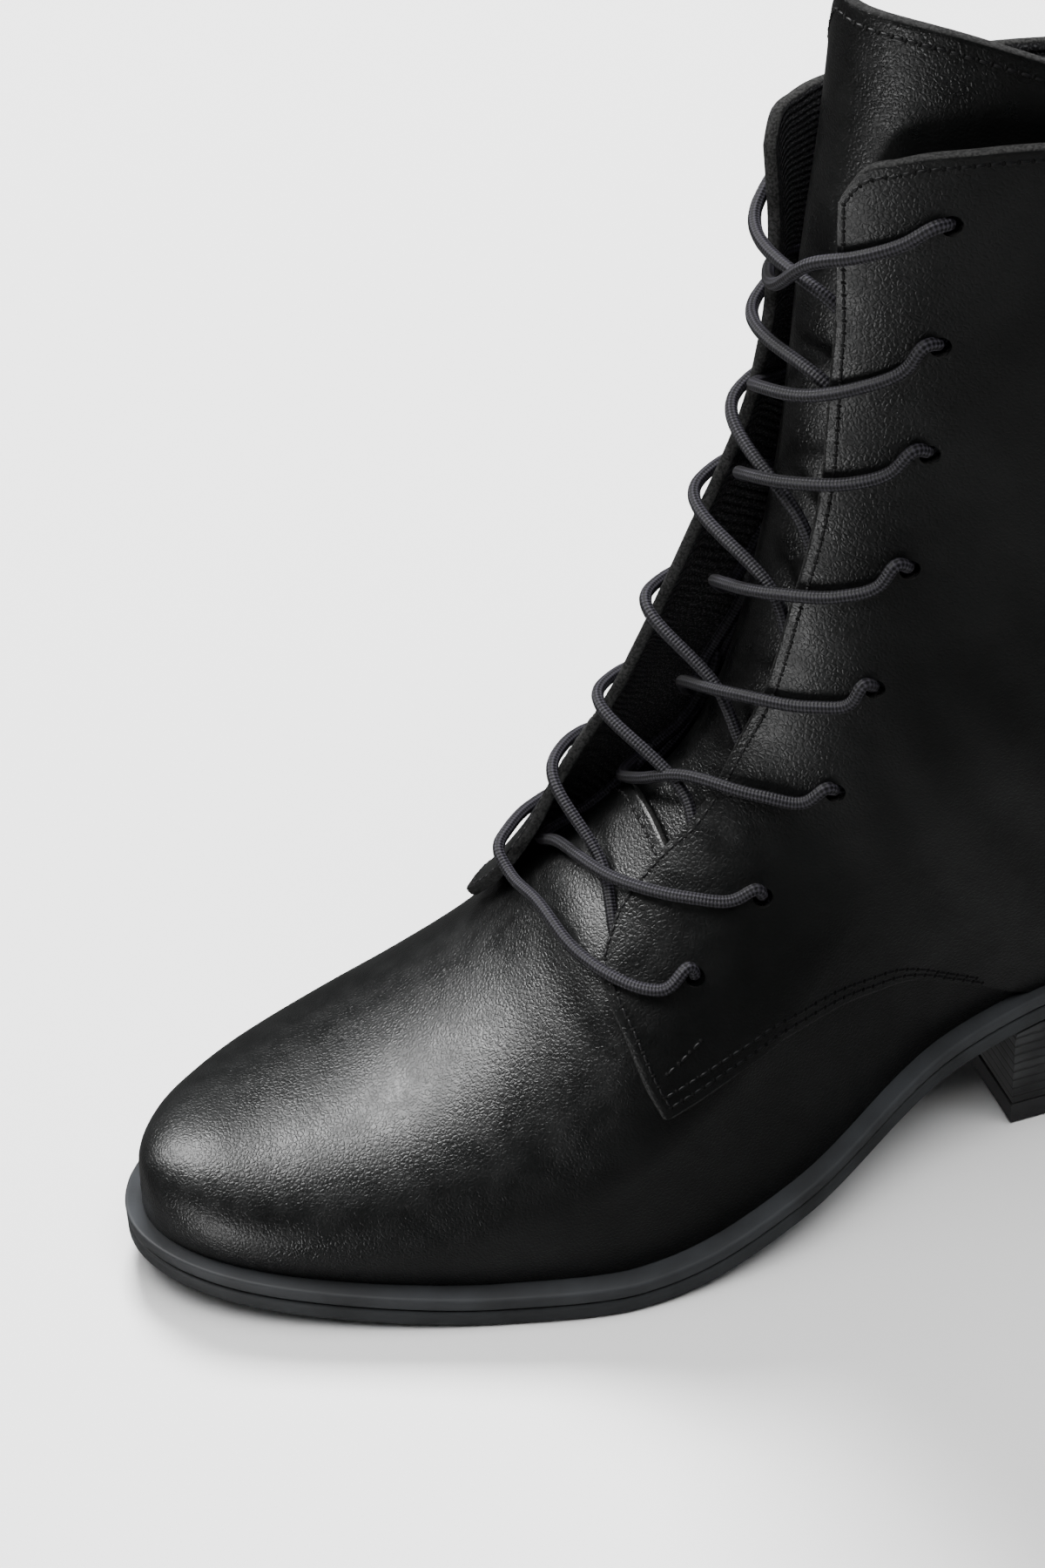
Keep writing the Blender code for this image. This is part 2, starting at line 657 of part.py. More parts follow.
def punch_eyelets(upper, cutters):
    """Cut the lace holes through both facings."""
    tools = []
    for side in (NEAR, FAR):
        for station, up in zip(*eyelets(side)):
            g = side * (1 - up)
            normal = Vector(last_normal(station, g))
            centre = Vector(offset_point(station, g, facing_lift(station, up, side)))
            bm = bmesh.new()
            bmesh.ops.create_cone(
                bm,
                cap_ends=True,
                segments=EYELET_SEGMENTS,
                radius1=EYELET_RADIUS,
                radius2=EYELET_RADIUS,
                depth=EYELET_DEPTH,
            )
            mesh = bpy.data.meshes.new("eyelet_cut")
            bm.to_mesh(mesh)
            bm.free()
            tool = bpy.data.objects.new("eyelet_cut", mesh)
            tool.rotation_mode = "QUATERNION"
            tool.rotation_quaternion = normal.to_track_quat("Z", "Y")
            tool.location = centre
            tool.hide_render = True
            tool.display_type = "WIRE"
            cutters.objects.link(tool)
            tools.append(tool)
    join_solids(upper, tools, "DIFFERENCE")


def make_upper(collection, cutters, material):
    """The upper as one hollow solid with its punched holes."""
    upper = make_vamp(collection, material)
    quarters = make_quarters(cutters, material)
    join_solids(upper, [quarters], "UNION")
    punch_eyelets(upper, cutters)
    return upper


def make_tongue(collection, material):
    """The tongue: a curved sheet under the facings, from the throat past the collar."""
    low = TONGUE_TABLE[0][0]
    across = np.linspace(1, -1, TONGUE_ACROSS + 1)
    top = lookup(TONGUE_TOP_TABLE, TONGUE_TOP_COLUMNS, "share", "station", across)
    share = np.linspace(0, 1, TONGUE_ROWS + 1)
    station = low + (top - low)[None, :] * share[:, None]
    near = lookup(TONGUE_TABLE, TONGUE_COLUMNS, "station", "near", station)
    far = lookup(TONGUE_TABLE, TONGUE_COLUMNS, "station", "far", station)
    middle = lookup(TONGUE_TABLE, TONGUE_COLUMNS, "station", "middle", station)
    side = lookup(TONGUE_TABLE, TONGUE_COLUMNS, "station", "side", station)
    g = np.where(across[None, :] >= 0, near, far) * across[None, :]
    depth = (side + (middle - side) * (1 - across[None, :] ** 2)) * TONGUE_DEPTH
    outer = offset_point(station, g, -depth)
    inner = offset_point(station, g, -depth - TONGUE_WALL)
    points = np.concatenate([outer.reshape(-1, 3), inner.reshape(-1, 3)])
    faces = wall_faces(g.shape[0], g.shape[1], 0)
    return add_mesh("tongue", points, faces, material, collection)


def slab(name, half, back, front, low, high, material, collection):
    """A sheet with a rounded outline between two heights that vary along it."""
    turn = np.linspace(0, np.pi, SOLE_ROWS + 1)
    x = (front + back) / 2 + (front - back) / 2 * np.cos(turn)
    across = np.linspace(1, -1, SOLE_ACROSS + 1)
    near = half(x, NEAR)
    far = half(x, FAR)
    near[[0, -1]] = 0
    far[[0, -1]] = 0
    y = np.where(across[None, :] >= 0, near[:, None], far[:, None]) * across[None, :]
    xs = np.broadcast_to(x[:, None], y.shape)
    top = np.stack([xs, y, high(xs)], axis=-1)
    under = np.stack([xs, y, low(xs)], axis=-1)
    points = np.concatenate([top.reshape(-1, 3), under.reshape(-1, 3)])
    faces = wall_faces(y.shape[0], y.shape[1], 0)
    return add_mesh(name, points, faces, material, collection)


def make_soles(collection, rubber, welt_rubber, lining):
    """Outsole, welt and insole."""
    slab("outsole", sole_half, -HEEL_BACK, TOE_FRONT, ground_line,
         lambda x: ground_line(x) + SOLE_THICKNESS, rubber, collection)
    slab("welt", sole_half, -HEEL_BACK, TOE_FRONT, welt_under, sole_top, welt_rubber, collection)
    toe_inset = WELT_LEDGE + VAMP_WALL + INSOLE_CLEARANCE
    heel_inset = HEEL_LEDGE + VAMP_WALL + INSOLE_CLEARANCE
    slab("insole", lambda x, side: inset_half(x, side, toe_inset, heel_inset),
         heel_inset - HEEL_BACK, TOE_FRONT - toe_inset + WELT_LEDGE - TOE_LEDGE,
         lambda x: sole_top(x) + SEAT_GAP,
         lambda x: sole_top(x) + SEAT_GAP + INSOLE_THICKNESS, lining, collection)


def heel_ring(level, height):
    """Near and far halves of the heel's outline at a share of its rise, seat being 1."""
    turn = np.linspace(np.arccos(2 * HEEL_RUN / SOLE_LENGTH - 1), np.pi, HEEL_ROWS + 1)
    seat_x = (TOE_FRONT - HEEL_BACK) / 2 + SOLE_LENGTH / 2 * np.cos(turn)
    breast = sole_half(seat_x[0], NEAR) + sole_half(seat_x[0], FAR)
    narrow = HEEL_BASE_WIDTH / breast
    base_x = seat_x * (1 - 2 * HEEL_BASE_SET_BACK / HEEL_RUN)
    x = base_x + (seat_x - base_x) * level
    scale = narrow + (1 - narrow) * level
    halves = []
    for side in (NEAR, FAR):
        half = sole_half(seat_x, side) * scale
        half[-1] = 0
        halves.append(np.stack([x, side * half, height(seat_x)], axis=-1))
    return halves


def make_heel(collection, stack, lift_rubber):
    """Heel block up to the sole, and the top lift under it."""
    lift_level = TOP_LIFT_THICKNESS / PITCH
    block_low = TOP_LIFT_THICKNESS + SEAT_GAP
    block = [
        heel_ring(block_low / PITCH, lambda x: np.full(x.shape, block_low)),
        heel_ring(1.0, lambda x: ground_line(x) - SEAT_GAP),
    ]
    loft_heel("heel", block, stack, collection)
    lift = [
        heel_ring(0.0, np.zeros_like),
        heel_ring(lift_level, lambda x: np.full(x.shape, TOP_LIFT_THICKNESS)),
    ]
    loft_heel("heel_top_lift", lift, lift_rubber, collection)


def loft_heel(name, rings, material, collection):
    """Close a stack of near and far half rings into one solid."""
    count = len(rings[0][0])
    points = np.concatenate([part for ring in rings for part in ring])
    faces = []
    for k in range(len(rings) - 1):
        for half in (0, 1):
            a = (2 * k + half) * count
            b = a + 2 * count
            for i in range(count - 1):
                faces.append((a + i, a + i + 1, b + i + 1, b + i))
        a = 2 * k * count
        b = a + 2 * count
        faces.append((a, b, b + count, a + count))
    for k in (0, len(rings) - 1):
        a = 2 * k * count
        for i in range(count - 1):
            faces.append((a + i, a + i + 1, a + count + i + 1, a + count + i))
    return add_mesh(name, points, faces, material, collection)


def smooth_path(points, count):
    """Evenly spread points on a smooth curve through a few places."""
    points = np.array(points, dtype=float)
    steps = np.linalg.norm(np.diff(points, axis=0), axis=1)
    length = np.concatenate([[0], np.cumsum(steps)])
    at = np.linspace(0, length[-1], count)
    return np.stack([smooth(length, points[:, k], at) for k in range(3)], axis=-1)


def tube(name, points, material, collection):
    """A round cord along a path, with its ends closed, as a mesh."""
    curve = bpy.data.curves.new(name, "CURVE")
    curve.dimensions = "3D"
    curve.bevel_depth = LACE_RADIUS
    curve.bevel_resolution = 2
    curve.use_fill_caps = True
    curve.resolution_u = 1
    spline = curve.splines.new("POLY")
    spline.points.add(len(points) - 1)
    for point, place in zip(spline.points, points):
        point.co = (*place, 1)
    guide = bpy.data.objects.new(name + "_guide", curve)
    collection.objects.link(guide)
    graph = bpy.context.evaluated_depsgraph_get()
    graph.update()
    mesh = bpy.data.meshes.new_from_object(guide.evaluated_get(graph))
    bm = bmesh.new()
    bm.from_mesh(mesh)
    bmesh.ops.remove_doubles(bm, verts=bm.verts, dist=0.00001)
    bmesh.ops.recalc_face_normals(bm, faces=bm.faces)
    bm.to_mesh(mesh)
    bm.free()
    mesh.materials.clear()
    mesh.materials.append(material)
    mesh.shade_smooth()
    piece = bpy.data.objects.new(name, mesh)
    piece.matrix_world = guide.matrix_world
    collection.objects.link(piece)
    bpy.data.objects.remove(guide)
    return piece


def outside(station, up, side):
    """Height of a lace's middle over a facing's outer face."""
    return facing_lift(station, up, side) + QUARTER_STEP + LACE_RADIUS + LACE_CLEARANCE


def facing_route(hole, share, over, side):
    """Places of a lace's middle over a facing, from its hole to the free edge."""
    edge = float(facing_edge(over, side))
    places = []
    for along, out in ((0.03, HOLE_CLEARANCE), (0.5, (edge - share) / 2), (1.0, edge - share)):
        station = hole + (over - hole) * along
        up = share + out
        places.append(offset_point(station, side * (1 - up), outside(station, up, side)))
    return places


def make_laces(collection, material):
    """Each crossing of the lace as one solid, and the bar over the lowest holes."""
    over = UNDER_STRAND_HEIGHT + 2 * LACE_RADIUS - CROSSING_OVERLAP
    holes = {side: eyelets(side) for side in (NEAR, FAR)}
    for k in range(len(LACE_TABLE)):
        near_over, far_over, cross, middle, near_under, far_under = LACE_TABLE[k]
        strands = []
        for side, edge, height, under, end_height in (
            (NEAR, near_over, over, far_under, FAR_END_HEIGHT),
            (FAR, far_over, UNDER_STRAND_HEIGHT, near_under, NEAR_END_HEIGHT),
        ):
            places = facing_route(holes[side][0][k], holes[side][1][k], edge, side)
            places.append(offset_point(cross, middle, height))
            places.append(offset_point(under, -side * LACE_END_SHARE, end_height))
            name = "lace_crossing_%d" % (k + 1) if side == NEAR else "lace_under"
            strands.append(tube(name, smooth_path(places, LACE_POINTS), material, collection))
        join_solids(strands[0], [strands[1]], "UNION")
    near_over, far_over, middle = BAR_TABLE
    far_part = facing_route(holes[FAR][0][-1], holes[FAR][1][-1], far_over, FAR)
    near_part = facing_route(holes[NEAR][0][-1], holes[NEAR][1][-1], near_over, NEAR)
    places = far_part + [offset_point(middle, 0.0, UNDER_STRAND_HEIGHT)] + near_part[::-1]
    tube("lace_bar", smooth_path(places, BAR_POINTS), material, collection)


def main():
    """Clear the scene and build the boot."""
    for piece in list(bpy.data.objects):
        bpy.data.objects.remove(piece)
    boot = new_collection("lace_up_ankle_boot")
    cutters = new_collection("cutters")
    leather = new_material("black_leather", (0.012, 0.012, 0.013), 0.42)
    tongue_leather = new_material("tongue_leather", (0.014, 0.014, 0.015), 0.38)
    rubber = new_material("dark_rubber", (0.035, 0.037, 0.040), 0.62)
    welt_rubber = new_material("welt_rubber", (0.040, 0.042, 0.046), 0.58)
    stack = new_material("heel_stack", (0.045, 0.046, 0.048), 0.60)
    textile = new_material("insole_textile", (0.020, 0.020, 0.021), 0.85)
    cord = new_material("waxed_cord", (0.022, 0.021, 0.026), 0.55)
    make_soles(boot, rubber, welt_rubber, textile)
    make_heel(boot, stack, rubber)
    make_upper(boot, cutters, leather)
    make_tongue(boot, tongue_leather)
    make_laces(boot, cord)


main()
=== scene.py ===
"""Looks of a left lace up ankle boot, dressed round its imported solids.

Frame: metres, +X towards the toe, +Y towards the wearer's left, +Z up, the
heel's ground face at Z = 0.
"""

import json
import logging
from dataclasses import dataclass, field
from enum import Enum
from typing import Callable, Sequence

import bmesh
import bpy
import numpy as np
from mathutils import Matrix, Vector

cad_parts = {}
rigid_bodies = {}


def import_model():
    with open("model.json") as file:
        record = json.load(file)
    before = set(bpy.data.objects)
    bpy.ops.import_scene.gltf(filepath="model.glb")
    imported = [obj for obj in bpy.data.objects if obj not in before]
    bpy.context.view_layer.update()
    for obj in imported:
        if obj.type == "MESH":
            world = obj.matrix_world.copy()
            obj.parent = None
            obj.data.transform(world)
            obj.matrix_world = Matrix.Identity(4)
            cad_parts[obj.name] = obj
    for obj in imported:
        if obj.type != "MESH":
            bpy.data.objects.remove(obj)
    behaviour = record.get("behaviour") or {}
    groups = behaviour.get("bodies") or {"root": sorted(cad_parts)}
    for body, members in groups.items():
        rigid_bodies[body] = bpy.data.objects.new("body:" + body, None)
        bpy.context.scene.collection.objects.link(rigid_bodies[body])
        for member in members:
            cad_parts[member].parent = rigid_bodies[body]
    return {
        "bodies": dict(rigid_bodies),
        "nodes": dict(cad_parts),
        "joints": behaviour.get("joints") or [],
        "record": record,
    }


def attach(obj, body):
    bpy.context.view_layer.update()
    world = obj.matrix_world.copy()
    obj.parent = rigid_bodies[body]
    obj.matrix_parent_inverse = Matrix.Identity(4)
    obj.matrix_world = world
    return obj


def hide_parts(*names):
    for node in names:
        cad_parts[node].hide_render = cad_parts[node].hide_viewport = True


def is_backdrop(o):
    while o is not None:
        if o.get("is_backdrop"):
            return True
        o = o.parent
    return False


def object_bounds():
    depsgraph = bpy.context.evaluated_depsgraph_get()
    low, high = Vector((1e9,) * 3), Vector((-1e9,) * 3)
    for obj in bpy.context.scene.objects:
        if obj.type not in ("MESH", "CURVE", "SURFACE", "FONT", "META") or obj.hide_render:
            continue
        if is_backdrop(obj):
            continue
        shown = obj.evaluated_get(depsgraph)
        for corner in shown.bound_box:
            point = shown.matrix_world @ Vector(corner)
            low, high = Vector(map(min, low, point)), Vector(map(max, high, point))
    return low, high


MM = 0.001
STEP = 1e-3
LOG = logging.getLogger("boot")
Array = np.ndarray
HeightRule = Callable[[Array], Array]
HalfRule = Callable[[Array, "Side"], Array]
Place = tuple[float, float, float]


class Side(Enum):
    """The two sides of the boot: near is the wearer's left."""

    NEAR = 1
    FAR = -1


def smooth(xs: Sequence[float], ys: Sequence[float], x: Array) -> Array:
    """Read a smooth curve through a few places.

    Args:
        xs: places along the curve, rising.
        ys: the curve's values there.
        x: places to read it at.

    Returns:
        The values at x.
    """
    xs = np.asarray(xs, dtype=float)
    ys = np.asarray(ys, dtype=float)
    x = np.clip(np.asarray(x, dtype=float), xs[0], xs[-1])
    width = np.diff(xs)
    rise = np.diff(ys) / width
    slope = np.empty_like(ys)
    slope[0] = rise[0]
    slope[-1] = rise[-1]
    slope[1:-1] = (rise[:-1] * width[1:] + rise[1:] * width[:-1]) / (width[:-1] + width[1:])
    k = np.clip(np.searchsorted(xs, x, side="right") - 1, 0, len(width) - 1)
    t = (x - xs[k]) / width[k]
    return (
        (2 * t**3 - 3 * t**2 + 1) * ys[k]
        + (t**3 - 2 * t**2 + t) * width[k] * slope[k]
        + (-2 * t**3 + 3 * t**2) * ys[k + 1]
        + (t**3 - t**2) * width[k] * slope[k + 1]
    )


def ramp(x: Array, low: Array, high: Array) -> Array:
    """Ease from 0 at low to 1 at high."""
    t = np.clip((x - low) / (high - low), 0.0, 1.0)
    return t * t * (3 - 2 * t)


@dataclass(frozen=True)
class Table:
    """A short table with named columns, the first being its key."""

    columns: tuple[str, ...]
    rows: tuple[tuple[float, ...], ...]

    def column(self, name: str) -> Array:
        """One named column."""
        return np.array([row[self.columns.index(name)] for row in self.rows], dtype=float)

    def at(self, name: str, key: Array) -> Array:
        """Read a named column smoothly at a value of the key column."""
        return smooth(self.column(self.columns[0]), self.column(name), key)

    def row(self, number: int) -> dict[str, float]:
        """One row, by column name."""
        return dict(zip(self.columns, self.rows[number]))


@dataclass(frozen=True)
class SoleShape:
    """Outline and ground line of the sole."""

    length: float = 261 * MM
    ball_width: float = 88 * MM
    heel_back: float = 30 * MM
    pitch: float = 38 * MM
    toe_spring: float = 7.3 * MM
    outsole: float = 3.9 * MM
    welt: float = 3.2 * MM
    welt_ledge: float = 4.6 * MM
    toe_ledge: float = 3.6 * MM
    heel_ledge: float = 3.2 * MM
    heel_run: float = 76 * MM
    gap: float = 0.3 * MM
    table: Table = Table(
        ("run", "near", "far", "pitch", "spring"),
        (
            (0.000, 0.000, 0.000, 1.000, 0.000),
            (0.076, 0.270, 0.273, 0.997, 0.000),
            (0.192, 0.332, 0.324, 0.968, 0.000),
            (0.345, 0.356, 0.307, 0.690, 0.000),
            (0.498, 0.516, 0.352, 0.250, 0.000),
            (0.592, 0.553, 0.415, 0.035, 0.000),
            (0.642, 0.555, 0.453, 0.000, 0.000),
            (0.747, 0.489, 0.495, 0.000, 0.000),
            (0.873, 0.363, 0.409, 0.000, 0.360),
            (0.958, 0.219, 0.243, 0.000, 0.730),
            (1.000, 0.000, 0.000, 0.000, 1.000),
        ),
    )

    @property
    def toe_front(self) -> float:
        """Place of the toe's tip."""
        return self.length - self.heel_back

    @property
    def feather_back(self) -> float:
        """Back end of the line where the upper meets the sole."""
        return self.heel_ledge - self.heel_back

    @property
    def feather_front(self) -> float:
        """Front end of the line where the upper meets the sole."""
        return self.toe_front - self.toe_ledge

    def run(self, x: Array) -> Array:
        """Share of the sole's length at a place along it."""
        return (np.asarray(x, dtype=float) + self.heel_back) / self.length

    def fullness(self, side: Side) -> Array:
        """The outline's width as shares of an ellipse's, for one side.

        Args:
            side: the side to read.

        Returns:
            The shares at the outline table's runs.
        """
        runs = self.table.column("run")
        half = self.table.column("near" if side is Side.NEAR else "far") * self.ball_width
        turn = np.arccos(np.clip(2 * runs - 1, -1, 1))
        full = half.copy()
        full[1:-1] = half[1:-1] / np.sin(turn[1:-1])
        full[0] = full[1]
        full[-1] = full[-2]
        return full

    def inset_half(self, x: Array, side: Side, toe_inset: float, heel_inset: float) -> Array:
        """Half width of an outline inside the sole's by a ledge.

        Args:
            x: places along the sole.
            side: the side to read.
            toe_inset: ledge at the ball and toe.
            heel_inset: ledge round the heel.

        Returns:
            The half widths.
        """
        back = heel_inset - self.heel_back
        front = self.toe_front - toe_inset + (self.welt_ledge - self.toe_ledge) * (toe_inset > 0)
        turn = np.arccos(np.clip((np.asarray(x, dtype=float) - (front + back) / 2) / ((front - back) / 2), -1, 1))
        full = smooth(self.table.column("run"), self.fullness(side), (1 + np.cos(turn)) / 2)
        share = np.clip((self.heel_run - np.asarray(x, dtype=float)) / self.heel_run, 0, 1)
        inset = toe_inset + (heel_inset - toe_inset) * share
        return np.maximum(full - inset, 0) * np.sin(turn)

    def feather_half(self, x: Array, side: Side) -> Array:
        """Half width of the line where the upper meets the sole."""
        return self.inset_half(x, side, self.welt_ledge, self.heel_ledge)

    def ground(self, x: Array) -> Array:
        """Height of the sole's under face.

        Args:
            x: places along the boot, from the heel.

        Returns:
            Heights above the floor.
        """
        run = self.run(x)
        pitch = self.table.at("pitch", run) * self.pitch
        spring = self.table.at("spring", run) * self.toe_spring
        return np.maximum(pitch, 0) + np.maximum(spring, 0)

    def welt_under(self, x: Array) -> Array:
        """Height of the welt's under face."""
        return self.ground(x) + self.outsole + self.gap

    def top(self, x: Array) -> Array:
        """Height of the sole's upper face."""
        return self.welt_under(x) + self.welt


@dataclass(frozen=True)
class Last:
    """The foot's form, as sections fanned from the toe round to the collar.

    A place on it is a section number and a share g: 1 at the near feather
    line or the back line, 0 on the ridge and -1 at the far feather line.
    """

    sole: SoleShape = SoleShape()
    rise: float = 191.6 * MM
    corner_row: int = 14
    belly_turn: float = 0.45
    belly_round: float = 2.1
    upright: float = 1.0
    upright_fade: float = 3.0
    level_share: float = 0.25
    columns: tuple[str, ...] = (
        "top_run", "top_rise", "end_run", "end_rise", "near", "far", "belly", "crown", "lean",
    )
    rows: tuple[tuple[float, ...], ...] = (
        (0.9862, 0.036, 0.9862, 0.000, 0.000, 0.000, 0.30, 2.10, 0.000),
        (0.9800, 0.071, 0.9800, 0.000, 0.009, 0.009, 0.30, 2.10, -0.003),
        (0.9617, 0.096, 0.9617, 0.000, 0.014, 0.014, 0.30, 2.10, -0.009),
        (0.9311, 0.114, 0.9311, 0.000, 0.018, 0.018, 0.30, 2.10, -0.017),
        (0.8735, 0.134, 0.8735, 0.000, 0.023, 0.023, 0.30, 2.10, -0.028),
        (0.7854, 0.177, 0.7854, 0.000, 0.025, 0.025, 0.32, 2.05, -0.038),
        (0.6896, 0.257, 0.6896, 0.000, 0.018, 0.023, 0.34, 1.95, -0.042),
        (0.6245, 0.346, 0.6169, 0.000, 0.006, 0.030, 0.38, 1.80, -0.036),
        (0.5632, 0.398, 0.5364, 0.000, -0.017, 0.045, 0.42, 1.70, -0.024),
        (0.5287, 0.410, 0.4521, 0.000, -0.011, 0.055, 0.46, 1.65, -0.014),
        (0.5069, 0.425, 0.3602, 0.000, 0.018, 0.057, 0.50, 1.65, -0.008),
        (0.4897, 0.462, 0.2605, 0.000, 0.043, 0.054, 0.54, 1.66, -0.004),
        (0.4751, 0.540, 0.1571, 0.000, 0.060, 0.055, 0.56, 1.68, 0.000),
        (0.4655, 0.614, 0.0690, 0.000, 0.138, 0.127, 0.57, 1.70, 0.000),
        (0.4610, 0.671, 0.0122, 0.000, 0.360, 0.350, 0.57, 1.72, 0.000),
        (0.4591, 0.713, 0.0027, 0.097, 0.355, 0.345, 0.55, 1.74, 0.000),
        (0.4570, 0.755, 0.0130, 0.233, 0.349, 0.339, 0.53, 1.76, 0.000),
        (0.4559, 0.797, 0.0287, 0.358, 0.348, 0.338, 0.51, 1.80, 0.000),
        (0.4544, 0.838, 0.0410, 0.494, 0.350, 0.340, 0.50, 1.84, 0.000),
        (0.4532, 0.890, 0.0449, 0.650, 0.355, 0.345, 0.49, 1.88, 0.000),
        (0.4521, 0.943, 0.0410, 0.807, 0.362, 0.352, 0.48, 1.92, 0.000),
        (0.4521, 1.000, 0.0345, 0.953, 0.368, 0.358, 0.48, 1.96, 0.000),
        (0.4521, 1.085, 0.0276, 1.060, 0.372, 0.362, 0.48, 1.98, 0.000),
    )

    def column(self, name: str) -> Array:
        """One named column of the sections."""
        return np.array([row[self.columns.index(name)] for row in self.rows], dtype=float)

    def read(self, name: str, station: Array) -> Array:
        """Read a column at a section number."""
        values = self.column(name)
        return smooth(np.arange(len(values)), values, station)

    def half(self, station: Array, side: Side) -> tuple[Array, Array]:
        """Widest half width of a section, and its half width at its lower end.

        Args:
            station: sections of the last.
            side: the side to read.

        Returns:
            The widest half width and the lower one.
        """
        sole = self.sole
        stations = np.arange(len(self.rows))
        ends = self.column("end_run") * sole.length - sole.heel_back
        base = np.where(stations < self.corner_row, sole.feather_half(ends, side), 0)
        name = "near" if side is Side.NEAR else "far"
        wide = base + self.column(name) * sole.ball_width
        end = self.read("end_run", station) * sole.length - sole.heel_back
        low = np.where(station < self.corner_row, sole.feather_half(end, side), 0)
        return smooth(stations, wide, station), low

    def point(self, station: Array, g: Array) -> Array:
        """Point on the last at a section and a share g.

        Args:
            station: sections of the last.
            g: shares round it, from -1 far to 1 near, 0 at the top.

        Returns:
            The points.
        """
        sole = self.sole
        station, g = np.broadcast_arrays(np.asarray(station, dtype=float), np.asarray(g, dtype=float))
        up = 1 - np.abs(g)
        end_x = self.read("end_run", station) * sole.length - sole.heel_back
        top_x = self.read("top_run", station) * sole.length - sole.heel_back
        seat = sole.top(np.clip(end_x, sole.feather_back, sole.feather_front)) + sole.gap
        end_rise = np.where(station < self.corner_row, 0, self.read("end_rise", station))
        end_z = seat + np.maximum(end_rise, 0) * self.rise
        top_z = seat + self.read("top_rise", station) * self.rise
        near_wide, near_low = self.half(station, Side.NEAR)
        far_wide, far_low = self.half(station, Side.FAR)
        wide = np.where(g >= 0, near_wide, far_wide)
        low = np.where(g >= 0, near_low, far_low)
        crown = self.read("crown", station)
        belly = self.read("belly", station)
        turn = self.belly_turn
        dip = np.clip((turn - up) / turn, 0, 1) * np.pi / 2
        arch = np.clip((up - turn) / (1 - turn), 0, 1) * np.pi / 2
        below = up < turn
        upright = 1 + self.upright * (1 - ramp(station, self.corner_row - self.upright_fade, self.corner_row))
        half_low = low + (wide - low) * np.cos(dip) ** (2 * upright / self.belly_round)
        half_high = wide * np.abs(np.cos(arch)) ** (2 / crown)
        half = np.where(below, half_low, half_high)
        along_low = belly * (1 - np.sin(dip) ** (2 / self.belly_round))
        along_high = belly + (1 - belly) * np.sin(arch) ** (2 / crown)
        along = np.where(below, along_low, along_high)
        x = end_x + (top_x - end_x) * along
        z = end_z + (top_z - end_z) * along
        y = np.sign(g) * half + self.read("lean", station) * sole.ball_width * along
        return np.stack([x, y, z], axis=-1)

    def on_centre(self, station: Array, g: Array) -> Array:
        """True on the toe's tip and down the back, where both sides meet."""
        return (station < STEP) | ((np.abs(g) > 1 - STEP) & (station > self.corner_row - STEP))

    def side_normal(self, station: Array, g: Array) -> Array:
        """Outward direction of one side's surface.

        Args:
            station: sections of the last.
            g: shares round it, all on one side.

        Returns:
            Directions of length 1.
        """
        ahead = self.point(np.maximum(station - STEP, 0), g) - self.point(station + STEP, g)
        across = self.point(station, np.minimum(g + STEP, 1)) - self.point(station, np.maximum(g - STEP, -1))
        out = np.cross(ahead, across)
        return out / np.linalg.norm(out, axis=-1, keepdims=True)

    def level_normal(self, station: Array, g: Array) -> Array:
        """Level direction square to the feather line.

        Args:
            station: sections of the last.
            g: shares round it.

        Returns:
            Level directions of length 1.
        """
        ahead = self.point(np.maximum(station - STEP, 0), g) - self.point(station + STEP, g)
        side = np.where(g >= 0, 1.0, -1.0)
        out = np.stack([-ahead[..., 1] * side, ahead[..., 0] * side, np.zeros(side.shape)], axis=-1)
        tip = (station < STEP) | (station > self.corner_row - STEP)
        out[..., 1] = np.where(tip, 0, out[..., 1])
        return out / np.maximum(np.linalg.norm(out, axis=-1, keepdims=True), STEP * MM)

    def normal(self, station: Array, g: Array) -> Array:
        """Outward direction, the mean of both sides where they meet.

        Args:
            station: sections of the last.
            g: shares round it.

        Returns:
            Directions of length 1.
        """
        station, g = np.broadcast_arrays(np.asarray(station, dtype=float), np.asarray(g, dtype=float))
        out = self.side_normal(station, g)
        other = self.side_normal(station, -g)
        shared = self.on_centre(station, g)[..., None]
        out = np.where(shared, out + other, out)
        out = out * np.where(shared, np.array([1.0, 0.0, 1.0]), 1.0)
        out = out / np.linalg.norm(out, axis=-1, keepdims=True)
        corner = self.corner_row
        by_feather = ramp(np.abs(g), 1 - self.level_share, 1) * (1 - ramp(station, corner, corner + 1))
        out = out + (self.level_normal(station, g) - out) * by_feather[..., None]
        return out / np.linalg.norm(out, axis=-1, keepdims=True)

    def offset(self, station: Array, g: Array, distance: Array) -> Array:
        """Point at a distance outside the last.

        Args:
            station: sections of the last.
            g: shares round it.
            distance: how far outside the last.

        Returns:
            The points.
        """
        station, g = np.broadcast_arrays(np.asarray(station, dtype=float), np.asarray(g, dtype=float))
        distance = np.broadcast_to(np.asarray(distance, dtype=float), station.shape)
        point = self.point(station, g) + self.normal(station, g) * distance[..., None]
        point[..., 1] = np.where(self.on_centre(station, g), 0, point[..., 1])
        on_feather = (np.abs(g) > 1 - STEP) & (station < self.corner_row + STEP)
        sole = self.sole
        floor = sole.top(np.clip(point[..., 0], sole.feather_back, sole.feather_front)) + sole.gap
        point[..., 2] = np.where(on_feather, floor, point[..., 2])
        return point


